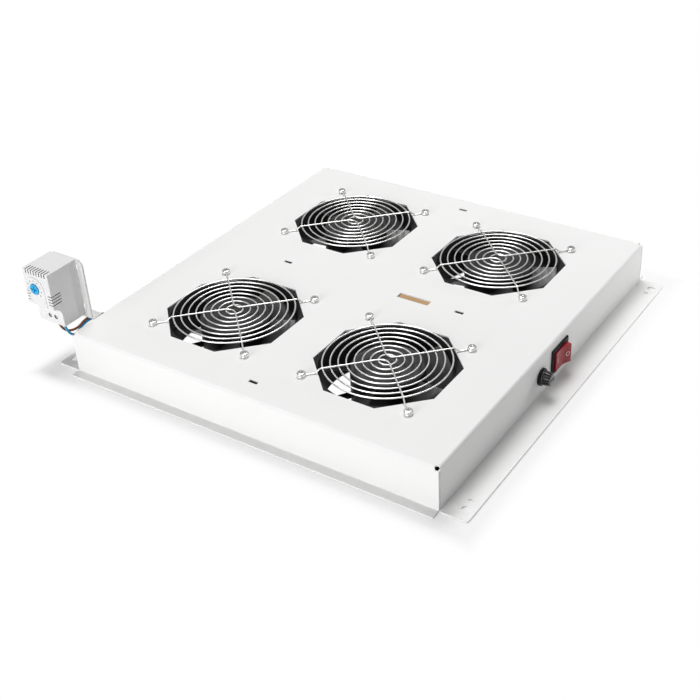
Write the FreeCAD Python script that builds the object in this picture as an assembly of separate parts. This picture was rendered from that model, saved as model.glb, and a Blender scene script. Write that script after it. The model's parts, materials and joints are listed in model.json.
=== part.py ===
import FreeCAD
import Part
import math
import os

os.makedirs("parts", exist_ok=True)
Vector = FreeCAD.Vector

# Rack fan tray, millimetres, +Z up. The origin is the centre of the four flange
# mounting holes on the flange's underside. The front wall with the switch is at -Y,
# the thermostat stands behind the rear wall near the -X end.

# Tray sheet
TRAY_WIDTH = 400.0
TRAY_DEPTH = 380.0
TRAY_HEIGHT = 42.0
SHEET = 1.5
BEND_INNER = 1.0
SEAM_GAP = 0.8
RELIEF_HOLE = 4.4
WIDE_FLANGE = 25.0
NARROW_FLANGE = 9.0
FLANGE_CHAMFER = 1.5

# Holes in the wide flanges
MOUNT_HOLE = 8.0
MOUNT_HOLE_EDGE = 8.0
MOUNT_HOLE_END = 12.5
PILOT_HOLE = 4.5
PILOT_STEP_IN = 10.0
PILOT_TO_WALL = 1.5

# Slot over the terminal board and the tie bridges pressed out of the panel
BOARD_SLOT_WIDTH = 8.0
BOARD_SLOT_LENGTH = 33.0
BOARD_SLOT_Y = -48.0
BRIDGE_LENGTH = 9.0
BRIDGE_WIDTH = 3.6
BRIDGE_DROP = 4.4
BRIDGE_SIDE_GAP = 0.4
BRIDGE_RAMP = 2.0
BRIDGE_FROM_SIDE = 21.0
BRIDGE_Y = 95.5

# Fans
FAN_SIDE = 120.0
FAN_DEPTH = 38.0
FAN_PITCH_X = 200.0
FAN_PITCH_Y = 165.0
FAN_HOLE_PITCH = 104.8
FAN_HOLE = 4.3
FAN_CORNER = 5.0
FAN_FLANGE = 4.0
FAN_BORE = 115.0
FAN_SHROUD = 1.8
INLET_FLARE = 2.2
CUTOUT_ACROSS = 120.0

# Motor and rotor
MOTOR_PLATE_DIAMETER = 63.0
MOTOR_PLATE = 3.0
STRUT_COUNT = 4
STRUT_WIDTH = 5.0
STRUT_DEPTH = 3.4
STRUT_SWEEP = 24.0
HUB_DIAMETER = 65.0
HUB_WALL = 1.8
HUB_TOP = 2.4
HUB_EDGE = 1.5
HUB_BELOW_FRONT = 0.5
HUB_TO_PLATE = 1.2
BLADE_COUNT = 5
BLADE_TIP_GAP = 1.4
BLADE_SWEEP = 54.0
BLADE_THICK = 2.2
BLADE_EDGE = 0.9
BLADE_BOW = 2.4
BLADE_BELOW_FRONT = 4.5
BLADE_ABOVE_PLATE = 1.8
SHAFT_DIAMETER = 4.0
SHAFT_CLEARANCE = 0.04
BEARING_DIAMETER = 10.0
BEARING_LENGTH = 5.0
BEARING_TUBE_WALL = 1.5
CORE_DIAMETER = 46.0
CORE_HEIGHT = 12.0
CORE_NECK = 9.0
CORE_SHOE = 4.0
COIL_THICK = 3.0
ROTOR_RING = 4.5
ROTOR_RING_HEIGHT = 15.0
ROTOR_ANGLES = (24.0, 54.0, 52.0, 50.0)

# Finger guards
GUARD_WIRE = 1.7
GUARD_RINGS = 8
GUARD_FIRST_RADIUS = 7.7
GUARD_RING_STEP = 6.83
GUARD_LIFT = 3.9
GUARD_JOG_START = 57.6
GUARD_JOG_END = 62.8
GUARD_APEX = 5.0
EYELET_SIDES = 12
SCREW_DIAMETER = 4.0
SCREW_CLEARANCE = 0.3
SCREW_HEAD_DIAMETER = 7.8
SCREW_HEAD = 2.6
GUARD_NUT_ACROSS = 7.0
GUARD_NUT = 3.2
SCREW_PAST_NUT = 1.2

# Rocker switch in the front wall
SWITCH_X = 9.5
SWITCH_Z = 21.5
BEZEL_LENGTH = 31.0
BEZEL_HEIGHT = 25.0
BEZEL = 2.0
BEZEL_EDGE = 0.8
SWITCH_BODY_LENGTH = 28.4
SWITCH_BODY_HEIGHT = 22.0
SWITCH_BODY_DEPTH = 24.0
SWITCH_CLEARANCE = 0.2
SNAP_LENGTH = 7.0
SNAP_PROUD = 0.9
SNAP_HEIGHT = 8.0
ROCKER_LENGTH = 24.0
ROCKER_HEIGHT = 18.4
ROCKER_TILT = 10.0
ROCKER_PROUD = 0.7
ROCKER_SKIRT = 3.6
ROCKER_KEEL = 6.0
ROCKER_GAP = 0.35
ROCKER_PIVOT_DEPTH = 3.5
ROCKER_PIN = 2.6
ROCKER_PIN_LENGTH = 0.9
PIN_CLEARANCE = 0.05
TERMINAL_WIDTH = 6.3
TERMINAL_THICK = 0.8
TERMINAL_LENGTH = 9.0
TERMINAL_SPACING_X = 14.0
TERMINAL_SPACING_Z = 10.0

# Fuse holder in the front wall
FUSE_X = -25.5
FUSE_Z = 20.0
FUSE_FLANGE_DIAMETER = 16.0
FUSE_FLANGE = 2.2
FUSE_BARREL_DIAMETER = 11.8
FUSE_HOLE_CLEARANCE = 0.2
FUSE_BARREL_LENGTH = 32.0
FUSE_BORE_DIAMETER = 9.0
FUSE_BARREL_END = 3.0
FUSE_NUT_ACROSS = 15.0
FUSE_NUT = 3.0
FUSE_CAP_BASE = 13.4
FUSE_CAP_TIP = 11.2
FUSE_CAP_LENGTH = 8.2
FUSE_CAP_GAP = 0.3
FUSE_CAP_RIBS = 12
FUSE_CAP_RIB_DEPTH = 0.6
FUSE_CAP_SLOT = 1.4
FUSE_STEM_LENGTH = 8.0
FUSE_STEM_CLEARANCE = 0.3
FUSE_DIAMETER = 5.0
FUSE_LENGTH = 20.0
FUSE_END_CAP = 5.0
FUSE_END_CAP_WALL = 0.2
FUSE_SOCKET_DEPTH = 4.0
FUSE_FIT = 0.06
FUSE_TAG_WIDTH = 4.8
FUSE_TAG_THICK = 0.8
FUSE_TAG_LENGTH = 8.0

# Thermostat, its bracket and their place behind the rear wall
THERMO_WIDTH = 31.0
THERMO_HEIGHT = 57.0
THERMO_DEPTH = 34.0
THERMO_WALL = 1.6
THERMO_BASE_DEPTH = 17.0
THERMO_ABOVE_FOOT = 2.5
THERMO_FROM_PLATE_EDGE = 9.0
THERMO_SETBACK = 8.4
THERMO_STEP_TOP = 21.6
THERMO_STEP_BOTTOM = 11.4
THERMO_PANEL_PROUD = 0.6
THERMO_PANEL_WIDTH = 23.5
THERMO_PANEL_BOTTOM = 22.4
THERMO_PANEL_ARCH = 11.75
GROOVE_COUNT = 4
GROOVE_STEP = 2.9
GROOVE_FIRST_Z = 25.5
GROOVE_HEIGHT = 1.0
GROOVE_DEPTH = 0.5
GROOVE_SIDE_LENGTH = 11.0
LOUVRE_COUNT = 8
LOUVRE_STEP = 3.3
LOUVRE_WIDTH = 1.2
LOUVRE_DROP = 4.2
LOUVRE_BACK = 7.0
VENT_COUNT = 5
VENT_STEP = 3.0
VENT_WIDTH = 1.0
VENT_HEIGHT = 4.4
VENT_LEAN = 20.0
DIAL_DIAMETER = 10.4
DIAL_CLEARANCE = 0.35
DIAL_PROUD = 1.4
DIAL_DISC = 4.0
DIAL_FROM_EDGE = 19.2
DIAL_Z = 38.5
DIAL_STEM_DIAMETER = 5.0
DIAL_STEM_LENGTH = 9.0
DIAL_SLOT = 1.2
DIAL_SLOT_LENGTH = 7.0
DIAL_BOSS_WALL = 1.6
CLAMP_HOLE = 4.6
CLAMP_SPACING = 7.4
CLAMP_FROM_EDGE = 9.8
CLAMP_Z = 7.4
CLAMP_SCREW_DIAMETER = 3.6
CLAMP_SCREW_LENGTH = 6.0
CLAMP_BLOCK_WIDTH = 6.6
CLAMP_BLOCK_DEPTH = 7.5
CLAMP_BLOCK_HEIGHT = 8.0
RAIL_HEIGHT = 35.0
RAIL_WINDOW_HEIGHT = 6.0
RAIL_WINDOW_LENGTH = 30.0
RAIL_WINDOW_EDGE = 7.6
RAIL_HOOK = 2.2
RAIL_HOOK_WIDTH = 12.0
RAIL_HOOK_LIP = 2.0
RAIL_HOOK_GAP = 0.1
BRACKET_SHEET = 1.5
BRACKET_PLATE_X = 27.5
BRACKET_PLATE_LENGTH = 41.0
BRACKET_FOOT_WIDTH = 11.0
BRACKET_CHAMFER = 4.0
BRACKET_TAB_WIDTH = 28.0
BRACKET_TAB_HEIGHT = 34.0
BRACKET_SCREW_IN = 6.5
BRACKET_SCREW_SPACING = 15.0
BRACKET_SCREW_Z = 18.0

# Leads from the thermostat, their grommet and the mains cable bush
LEAD_DIAMETER = 2.3
LEAD_STACK = 2.8
LEAD_AT_TIE = 33.2
GROMMET_X = 67.0
GROMMET_Z = 24.0
GROMMET_HOLE = 9.0
GROMMET_FLANGE = 12.5
GROMMET_BORE = 6.6
GROMMET_LIP = 1.6
BUSH_FROM_END = 60.0
BUSH_HOLE = 12.7
BUSH_FLANGE = 16.0
BUSH_BORE = 7.6
BUSH_FLANGE_THICK = 2.4
BUSH_INSIDE = 9.0
BUSH_SLIT = 1.2

# Terminal board and strip under the panel, and the earth stud
BOARD_LENGTH = 64.0
BOARD_WIDTH = 26.0
BOARD_THICK = 1.6
BOARD_STUD_EDGE = 5.0
STUD_DIAMETER = 3.0
STUD_LENGTH = 6.5
STUD_CLEARANCE = 0.2
STUD_NUT_ACROSS = 5.5
STUD_NUT = 2.4
STRIP_TO_NUT = 1.5
STRIP_PITCH = 8.0
STRIP_WIDTH = 16.0
STRIP_HEIGHT = 12.5
STRIP_WAIST = 9.0
STRIP_GAP = 1.0
STRIP_WIRE_HOLE = 3.6
STRIP_SCREW_HOLE = 3.4
STRIP_SCREW_SINK = 2.4
STRIP_TUBE_IN = 1.5
STRIP_TUBE_WALL = 0.8
EARTH_STUD_DIAMETER = 4.0
EARTH_STUD_LENGTH = 12.0
EARTH_NUT_ACROSS = 7.0
EARTH_NUT = 3.2
EARTH_WASHER_DIAMETER = 9.0
EARTH_WASHER = 0.8
EARTH_STUD_Y = 0.0

# Cable tie round the leads at the rear tie bridge
TIE_THICK = 1.0
TIE_WIDTH = 2.5
TIE_HEAD = 4.0
TIE_SLACK = 0.4

# Places that follow from the sizes
PANEL_UNDER = TRAY_HEIGHT - SHEET
BEND_OUTER = BEND_INNER + SHEET
FRONT_Y = -TRAY_DEPTH / 2
REAR_Y = TRAY_DEPTH / 2
FAN_TOP = PANEL_UNDER
FAN_BOTTOM = FAN_TOP - FAN_DEPTH
FAN_PLACES = [
    (-FAN_PITCH_X / 2, -FAN_PITCH_Y / 2),
    (FAN_PITCH_X / 2, -FAN_PITCH_Y / 2),
    (-FAN_PITCH_X / 2, FAN_PITCH_Y / 2),
    (FAN_PITCH_X / 2, FAN_PITCH_Y / 2),
]
PLATE_X = -TRAY_WIDTH / 2 + BRACKET_PLATE_X
STRIP_ROOM = BOARD_LENGTH - 2 * BOARD_STUD_EDGE - STUD_NUT_ACROSS - 2 * STRIP_TO_NUT
STRIP_POLES = int(STRIP_ROOM // STRIP_PITCH)
THERMO_Y = REAR_Y + THERMO_FROM_PLATE_EDGE
THERMO_Z = TRAY_HEIGHT + THERMO_ABOVE_FOOT


def box(x0, x1, y0, y1, z0, z1):
    """A block between two corners."""
    return Part.makeBox(x1 - x0, y1 - y0, z1 - z0, Vector(x0, y0, z0))


def rod(radius, start, end):
    """A round bar from one point to another."""
    run = Vector(*end) - Vector(*start)
    return Part.makeCylinder(radius, run.Length, Vector(*start), run)


def prism(points, run):
    """A closed outline of straight lines, pushed along a vector."""
    corners = [Vector(*p) for p in points]
    outline = Part.makePolygon(corners + [corners[0]])
    return Part.Face(outline).extrude(Vector(*run))


def regular(sides, across, turn=0.0):
    """Corner points of a regular outline, given its size across the flats."""
    radius = across / 2 / math.cos(math.pi / sides)
    angles = [math.radians(turn) + 2 * math.pi * k / sides for k in range(sides)]
    return [(radius * math.cos(a), radius * math.sin(a)) for a in angles]


def joined(shapes):
    """Several touching shapes made one solid."""
    whole = shapes[0].fuse(shapes[1:]) if len(shapes) > 1 else shapes[0]
    return whole.removeSplitter()


def cut(shape, tools):
    """A shape less several others."""
    return shape.cut(Part.makeCompound(tools)) if tools else shape


def save(name, shape):
    """One sub-part in its own file."""
    solids = shape.Solids
    whole = solids[0] if len(solids) == 1 else Part.makeCompound(solids)
    whole.exportStep("parts/" + name + ".step")


def corner_signs():
    """The four sign pairs of a rectangle's corners."""
    return [(-1, -1), (1, -1), (-1, 1), (1, 1)]


def wall_section(half, flange):
    """Outline of a bend, a wall and an outward flange, in the plane of reach and height."""
    top, bend_top = TRAY_HEIGHT, TRAY_HEIGHT - BEND_OUTER

    def arc(start, centre, radius, angle, end):
        middle = (
            centre[0] + radius * math.cos(math.radians(angle)),
            centre[1] + radius * math.sin(math.radians(angle)),
        )
        return [start, middle, end]

    upper = (half - BEND_OUTER, bend_top)
    lower = (half + BEND_INNER, BEND_OUTER)
    return [
        arc((half - BEND_OUTER, top), upper, BEND_OUTER, 45, (half, bend_top)),
        [(half, bend_top), (half, BEND_OUTER)],
        arc((half, BEND_OUTER), lower, BEND_INNER, 225, (half + BEND_INNER, SHEET)),
        [(half + BEND_INNER, SHEET), (half + flange, SHEET)],
        [(half + flange, SHEET), (half + flange, 0.0)],
        [(half + flange, 0.0), (half + BEND_INNER, 0.0)],
        arc((half + BEND_INNER, 0.0), lower, BEND_OUTER, 225, (half - SHEET, BEND_OUTER)),
        [(half - SHEET, BEND_OUTER), (half - SHEET, bend_top)],
        arc((half - SHEET, bend_top), upper, BEND_INNER, 45, (half - BEND_OUTER, PANEL_UNDER)),
        [(half - BEND_OUTER, PANEL_UNDER), (half - BEND_OUTER, top)],
    ]


def side_wall(half, flange, length, turn):
    """A bent side of the tray, extruded and turned to its side about +Z."""
    edges = []
    for piece in wall_section(half, flange):
        points = [Vector(reach, -length / 2, height) for reach, height in piece]
        if len(points) == 3:
            edges.append(Part.Arc(*points).toShape())
        else:
            edges.append(Part.LineSegment(*points).toShape())
    wall = Part.Face(Part.Wire(edges)).extrude(Vector(0, length, 0))
    wall.rotate(Vector(0, 0, 0), Vector(0, 0, 1), turn)
    return wall


def tie_bridge(x, y):
    """A strip of the panel pressed down between two slits, for a cable tie."""
    half = BRIDGE_LENGTH / 2
    flat = half - BRIDGE_RAMP
    top, under = TRAY_HEIGHT, PANEL_UNDER
    width = BRIDGE_WIDTH - 2 * BRIDGE_SIDE_GAP
    side = x - width / 2
    outline = [
        (side, y - half, top),
        (side, y - flat, top - BRIDGE_DROP),
        (side, y + flat, top - BRIDGE_DROP),
        (side, y + half, top),
        (side, y + half, under),
        (side, y + flat, under - BRIDGE_DROP),
        (side, y - flat, under - BRIDGE_DROP),
        (side, y - half, under),
    ]
    return prism(outline, (width, 0, 0))


def flange_holes():
    """The four large mounting holes and the four small ones, in the wide flanges."""
    tools = []
    hole_x = TRAY_WIDTH / 2 - MOUNT_HOLE_END
    hole_y = TRAY_DEPTH / 2 + WIDE_FLANGE - MOUNT_HOLE_EDGE
    for sx, sy in corner_signs():
        x, y = sx * hole_x, sy * hole_y
        tools.append(rod(MOUNT_HOLE / 2, (x, y, -1), (x, y, SHEET + 1)))
        x, y = sx * (hole_x - PILOT_STEP_IN), sy * (hole_y - PILOT_TO_WALL)
        tools.append(rod(PILOT_HOLE / 2, (x, y, -1), (x, y, SHEET + 1)))
    return tools


def bracket_screw_places():
    """Where the bracket's two screws pass through the rear wall."""
    first = PLATE_X + BRACKET_SCREW_IN
    return [(first, BRACKET_SCREW_Z), (first + BRACKET_SCREW_SPACING, BRACKET_SCREW_Z)]


def tray():
    """The tray: one sheet with four bent walls, outward flanges and every cut-out."""
    flat_x = TRAY_WIDTH / 2 - BEND_OUTER
    flat_y = TRAY_DEPTH / 2 - BEND_OUTER
    between = TRAY_WIDTH - 2 * (SHEET + SEAM_GAP)
    pieces = [box(-flat_x, flat_x, -flat_y, flat_y, PANEL_UNDER, TRAY_HEIGHT)]
    for turn in (0, 180):
        pieces.append(side_wall(TRAY_WIDTH / 2, NARROW_FLANGE, TRAY_DEPTH, turn))
    for turn in (90, 270):
        pieces.append(side_wall(TRAY_DEPTH / 2, WIDE_FLANGE, between, turn))
    inner, outer = TRAY_DEPTH / 2 + BEND_INNER, TRAY_DEPTH / 2 + WIDE_FLANGE
    half, chamfer = TRAY_WIDTH / 2, FLANGE_CHAMFER
    for sign in (-1, 1):
        outline = [
            (-half, sign * inner, 0),
            (-half, sign * (outer - chamfer), 0),
            (-half + chamfer, sign * outer, 0),
            (half - chamfer, sign * outer, 0),
            (half, sign * (outer - chamfer), 0),
            (half, sign * inner, 0),
        ]
        pieces.append(prism(outline, (0, 0, SHEET)))
    sheet = joined(pieces)

    tools = flange_holes()
    corner_x = TRAY_WIDTH / 2 - RELIEF_HOLE / 2
    corner_y = TRAY_DEPTH / 2 - RELIEF_HOLE / 2
    for sx, sy in corner_signs():
        base = (sx * corner_x, sy * corner_y, TRAY_HEIGHT - BEND_OUTER - 0.5)
        tools.append(rod(RELIEF_HOLE / 2, base, (base[0], base[1], TRAY_HEIGHT + 1)))
        notch_x = sorted((sx * (corner_x - SEAM_GAP), sx * (TRAY_WIDTH / 2 + 1)))
        notch_y = sorted((sy * (corner_y - SEAM_GAP), sy * (TRAY_DEPTH / 2 + 1)))
        tools.append(box(*notch_x, *notch_y, base[2], TRAY_HEIGHT + 1))
    for x, y in FAN_PLACES:
        outline = [(x + px, y + py, PANEL_UNDER - 1) for px, py in regular(8, CUTOUT_ACROSS, 22.5)]
        tools.append(prism(outline, (0, 0, SHEET + 2)))
        for hx, hy in fan_holes(x, y):
            tools.append(rod(SCREW_DIAMETER / 2 + 0.25, (hx, hy, PANEL_UNDER - 1),
                             (hx, hy, TRAY_HEIGHT + 1)))
    tools.append(box(-BOARD_SLOT_WIDTH / 2, BOARD_SLOT_WIDTH / 2, BOARD_SLOT_Y - BOARD_SLOT_LENGTH / 2,
                     BOARD_SLOT_Y + BOARD_SLOT_LENGTH / 2, PANEL_UNDER - 1, TRAY_HEIGHT + 1))
    bridge_x = TRAY_WIDTH / 2 - BRIDGE_FROM_SIDE
    bridges = [(-bridge_x, 0), (bridge_x, 0), (0, -BRIDGE_Y), (0, BRIDGE_Y)]
    for x, y in bridges:
        tools.append(box(x - BRIDGE_WIDTH / 2, x + BRIDGE_WIDTH / 2, y - BRIDGE_LENGTH / 2,
                         y + BRIDGE_LENGTH / 2, PANEL_UNDER - 1, TRAY_HEIGHT + 1))

    half_x = SWITCH_BODY_LENGTH / 2 + SWITCH_CLEARANCE
    half_z = SWITCH_BODY_HEIGHT / 2 + SWITCH_CLEARANCE
    through = (FRONT_Y - 1, FRONT_Y + SHEET + 1)
    tools.append(box(SWITCH_X - half_x, SWITCH_X + half_x, *through, SWITCH_Z - half_z, SWITCH_Z + half_z))
    tools.append(rod(FUSE_BARREL_DIAMETER / 2 + FUSE_HOLE_CLEARANCE,
                     (FUSE_X, through[0], FUSE_Z), (FUSE_X, through[1], FUSE_Z)))
    behind = (REAR_Y - SHEET - 1, REAR_Y + 1)
    for x, z in bracket_screw_places():
        tools.append(rod(SCREW_DIAMETER / 2 + 0.25, (x, behind[0], z), (x, behind[1], z)))
    tools.append(rod(GROMMET_HOLE / 2, (-TRAY_WIDTH / 2 + GROMMET_X, behind[0], GROMMET_Z),
                     (-TRAY_WIDTH / 2 + GROMMET_X, behind[1], GROMMET_Z)))
    tools.append(rod(BUSH_HOLE / 2, (TRAY_WIDTH / 2 - BUSH_FROM_END, behind[0], GROMMET_Z),
                     (TRAY_WIDTH / 2 - BUSH_FROM_END, behind[1], GROMMET_Z)))
    sheet = cut(sheet, tools)
    return joined([sheet] + [tie_bridge(x, y) for x, y in bridges])


def fan_holes(x, y):
    """The four screw places of a fan."""
    reach = FAN_HOLE_PITCH / 2
    return [(x + sx * reach, y + sy * reach) for sx, sy in corner_signs()]


def fan_frame(x, y):
    """Fan frame: two flanges, a round shroud, struts, motor plate and bearing tube."""
    half, bore = FAN_SIDE / 2, FAN_BORE / 2
    z0, z1 = FAN_BOTTOM, FAN_TOP
    plates = []
    for low in (z0, z1 - FAN_FLANGE):
        plate = box(-half, half, -half, half, low, low + FAN_FLANGE)
        upright = [e for e in plate.Edges if abs(e.Vertexes[0].Z - e.Vertexes[1].Z) > 1]
        plates.append(plate.makeFillet(FAN_CORNER, upright))
    shroud = rod(bore + FAN_SHROUD, (0, 0, z0), (0, 0, z1))
    frame = joined(plates + [shroud])
    flare = Part.makeCone(bore, bore + INLET_FLARE, INLET_FLARE * 2, Vector(0, 0, z1 - INLET_FLARE * 2))
    tools = [rod(bore, (0, 0, z0 - 1), (0, 0, z1 + 1)), flare]
    for hx, hy in fan_holes(0, 0):
        tools.append(rod(FAN_HOLE / 2, (hx, hy, z0 - 1), (hx, hy, z1 + 1)))
    frame = cut(frame, tools)

    motor = [rod(MOTOR_PLATE_DIAMETER / 2, (0, 0, z0), (0, 0, z0 + MOTOR_PLATE))]
    tube_top = FAN_TOP - HUB_BELOW_FRONT - HUB_TOP - HUB_TO_PLATE
    motor.append(rod(BEARING_DIAMETER / 2 + BEARING_TUBE_WALL, (0, 0, z0), (0, 0, tube_top)))
    inner, outer = MOTOR_PLATE_DIAMETER / 2 - 2, bore + FAN_SHROUD / 2
    for k in range(STRUT_COUNT):
        start = math.radians(360 * k / STRUT_COUNT + 12)
        end = start + math.radians(STRUT_SWEEP)
        a = Vector(inner * math.cos(start), inner * math.sin(start), z0)
        b = Vector(outer * math.cos(end), outer * math.sin(end), z0)
        along = b - a
        side = Vector(-along.y, along.x, 0).normalize() * (STRUT_WIDTH / 2)
        corners = [a - side, b - side, b + side, a + side]
        strut = prism([tuple(c) for c in corners], (0, 0, STRUT_DEPTH))
        motor.append(strut.common(rod(outer, (0, 0, z0), (0, 0, z0 + STRUT_DEPTH))))
    frame = joined([frame] + motor)
    seat = BEARING_DIAMETER / 2
    step = SHAFT_DIAMETER / 2 + 1.0
    tools = [
        rod(step, (0, 0, z0 + MOTOR_PLATE / 2), (0, 0, tube_top + 1)),
        rod(seat, (0, 0, tube_top - BEARING_LENGTH), (0, 0, tube_top + 1)),
        rod(seat, (0, 0, z0 + MOTOR_PLATE), (0, 0, z0 + MOTOR_PLATE + BEARING_LENGTH)),
    ]
    frame = cut(frame, tools)
    frame.translate(Vector(x, y, 0))
    return frame


def bearing_places():
    """Lower ends of a fan's two bearings."""
    tube_top = FAN_TOP - HUB_BELOW_FRONT - HUB_TOP - HUB_TO_PLATE
    return [FAN_BOTTOM + MOTOR_PLATE, tube_top - BEARING_LENGTH]


def bearing(x, y, z):
    """A sintered sleeve bearing."""
    outer = rod(BEARING_DIAMETER / 2, (x, y, z), (x, y, z + BEARING_LENGTH))
    bore = SHAFT_DIAMETER / 2 + SHAFT_CLEARANCE
    return outer.cut(rod(bore, (x, y, z - 1), (x, y, z + BEARING_LENGTH + 1)))


def rotor_shaft(x, y):
    """The steel shaft, pressed into the hub and turning in both bearings."""
    top = FAN_TOP - HUB_BELOW_FRONT - HUB_TOP
    return rod(SHAFT_DIAMETER / 2, (x, y, FAN_BOTTOM + MOTOR_PLATE - 0.7), (x, y, top))


def blade_section(radius, z_top, z_low):
    """Outline of a blade on the flat plane at one distance from the axis: two arcs and two ends."""
    span = z_top - z_low
    reach = 2 * radius * math.tan(math.radians(BLADE_SWEEP) / 2)
    tilt = math.atan2(span, reach)
    normal = Vector(0, -math.sin(tilt), math.cos(tilt))
    rear = Vector(radius, reach / 2, z_top)
    front = Vector(radius, -reach / 2, z_low)
    middle = (rear + front) / 2 + normal * BLADE_BOW
    thin = normal * (BLADE_EDGE / 2)
    thick = normal * (BLADE_THICK / 2)
    return Part.Wire([
        Part.Arc(rear + thin, middle + thick, front + thin).toShape(),
        Part.LineSegment(front + thin, front - thin).toShape(),
        Part.Arc(front - thin, middle - thick, rear - thin).toShape(),
        Part.LineSegment(rear - thin, rear + thin).toShape(),
    ])


def rotor(x, y, angle):
    """Moulded rotor: a cup-shaped hub with swept blades."""
    hub = HUB_DIAMETER / 2
    top = FAN_TOP - HUB_BELOW_FRONT
    low = FAN_BOTTOM + MOTOR_PLATE + HUB_TO_PLATE
    cup = rod(hub, (0, 0, low), (0, 0, top))
    rim = [e for e in cup.Edges if e.Closed and abs(e.CenterOfMass.z - top) < 0.01]
    cup = cup.makeChamfer(HUB_EDGE, rim)
    hollow = rod(hub - HUB_WALL, (0, 0, low - 1), (0, 0, top - HUB_TOP))
    tip = FAN_BORE / 2 - BLADE_TIP_GAP
    z_top, z_low = FAN_TOP - BLADE_BELOW_FRONT, FAN_BOTTOM + MOTOR_PLATE + BLADE_ABOVE_PLATE
    root = (hub - HUB_WALL) * math.cos(math.radians(BLADE_SWEEP) / 2)
    wires = [blade_section(radius, z_top, z_low) for radius in (root, (root + tip) / 2, tip + 1)]
    trim = rod(tip, (0, 0, low), (0, 0, top))
    blade = Part.makeLoft(wires, True, False).common(trim)
    blades = []
    for k in range(BLADE_COUNT):
        copy = blade.copy()
        copy.rotate(Vector(0, 0, 0), Vector(0, 0, 1), 360 * k / BLADE_COUNT + angle)
        blades.append(copy)
    wheel = joined([cup] + blades).cut(hollow)
    wheel.translate(Vector(x, y, 0))
    return wheel


def rotor_ring(x, y):
    """Steel ring inside the hub, which the motor's field drives."""
    top = FAN_TOP - HUB_BELOW_FRONT - HUB_TOP
    outer = HUB_DIAMETER / 2 - HUB_WALL
    ring = rod(outer, (x, y, top - ROTOR_RING_HEIGHT), (x, y, top))
    return ring.cut(rod(outer - ROTOR_RING, (x, y, 0), (x, y, top)))


def stator_core(x, y):
    """Stack of laminations with four poles, on the bearing tube."""
    low = FAN_BOTTOM + MOTOR_PLATE + BEARING_LENGTH + 2.0
    high = low + CORE_HEIGHT
    reach = CORE_DIAMETER / 2
    tube = BEARING_DIAMETER / 2 + BEARING_TUBE_WALL
    yoke = rod(tube + CORE_SHOE, (0, 0, low), (0, 0, high))
    disc = rod(reach, (0, 0, low), (0, 0, high))
    shoes = disc.cut(rod(reach - CORE_SHOE, (0, 0, low - 1), (0, 0, high + 1)))
    necks = [box(-reach, reach, -CORE_NECK / 2, CORE_NECK / 2, low, high),
             box(-CORE_NECK / 2, CORE_NECK / 2, -reach, reach, low, high)]
    core = joined([yoke, shoes] + necks).common(disc)
    gaps = []
    for k in range(4):
        gap = box(reach - CORE_SHOE - 1, reach + 1, -1.5, 1.5, low - 1, high + 1)
        gap.rotate(Vector(0, 0, 0), Vector(0, 0, 1), 45 + 90 * k)
        gaps.append(gap)
    core = cut(core, gaps + [rod(tube, (0, 0, low - 1), (0, 0, high + 1))])
    core.translate(Vector(x, y, 0))
    return core


def stator_coils(x, y):
    """Four windings, one round each pole's neck."""
    low = FAN_BOTTOM + MOTOR_PLATE + BEARING_LENGTH + 2.0
    tube = BEARING_DIAMETER / 2 + BEARING_TUBE_WALL
    half = CORE_NECK / 2
    shoe = CORE_DIAMETER / 2 - CORE_SHOE
    start, end = tube + CORE_SHOE + 0.3, math.sqrt(shoe ** 2 - (half + COIL_THICK) ** 2) - 0.3
    coils = []
    for k in range(4):
        outer = box(start, end, -half - COIL_THICK, half + COIL_THICK, low - COIL_THICK / 2,
                    low + CORE_HEIGHT + COIL_THICK / 2)
        coil = outer.cut(box(start - 1, end + 1, -half, half, low, low + CORE_HEIGHT))
        coil.rotate(Vector(0, 0, 0), Vector(0, 0, 1), 90 * k)
        coil.translate(Vector(x, y, 0))
        coils.append(coil)
    return coils


def flat_ring(radius, sides, z, x=0.0, y=0.0, wire=GUARD_WIRE):
    """A ring of square wire with straight sides, centred at a height."""
    outer = regular(sides, 2 * radius + wire)
    inner = regular(sides, 2 * radius - wire)
    low = z - wire / 2
    solid = prism([(x + px, y + py, low) for px, py in outer], (0, 0, wire))
    return solid.cut(prism([(x + px, y + py, low - 1) for px, py in inner], (0, 0, wire + 2)))


def guard_leg(turn):
    """A leg wire from one screw eyelet towards the centre and out to the next eyelet."""
    low = TRAY_HEIGHT + GUARD_WIRE / 2
    high = low + GUARD_LIFT
    corner = FAN_HOLE_PITCH / 2 * math.sqrt(2)
    eyelet = SCREW_DIAMETER / 2 + SCREW_CLEARANCE + GUARD_WIRE / 2
    half = GUARD_WIRE / 2
    stations = [
        (corner - eyelet, low),
        (GUARD_JOG_END, low),
        (GUARD_JOG_START, high),
        (GUARD_APEX, high),
    ]
    outline = [(r, 0, z + half) for r, z in stations]
    outline += [(r, 0, z - half) for r, z in stations[::-1]]
    pieces = []
    for sign in (-1, 1):
        arm = prism([(r, -half, z) for r, _, z in outline], (0, GUARD_WIRE, 0))
        ring = flat_ring(eyelet, EYELET_SIDES, low, corner, 0)
        arm = joined([arm, ring])
        arm.rotate(Vector(0, 0, 0), Vector(0, 0, 1), sign * 45)
        pieces.append(arm)
    apex = GUARD_APEX / math.sqrt(2)
    pieces.append(box(apex - half, apex + half, -apex - half, apex + half, high - half, high + half))
    leg = joined(pieces)
    leg.rotate(Vector(0, 0, 0), Vector(0, 0, 1), turn)
    return leg


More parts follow.
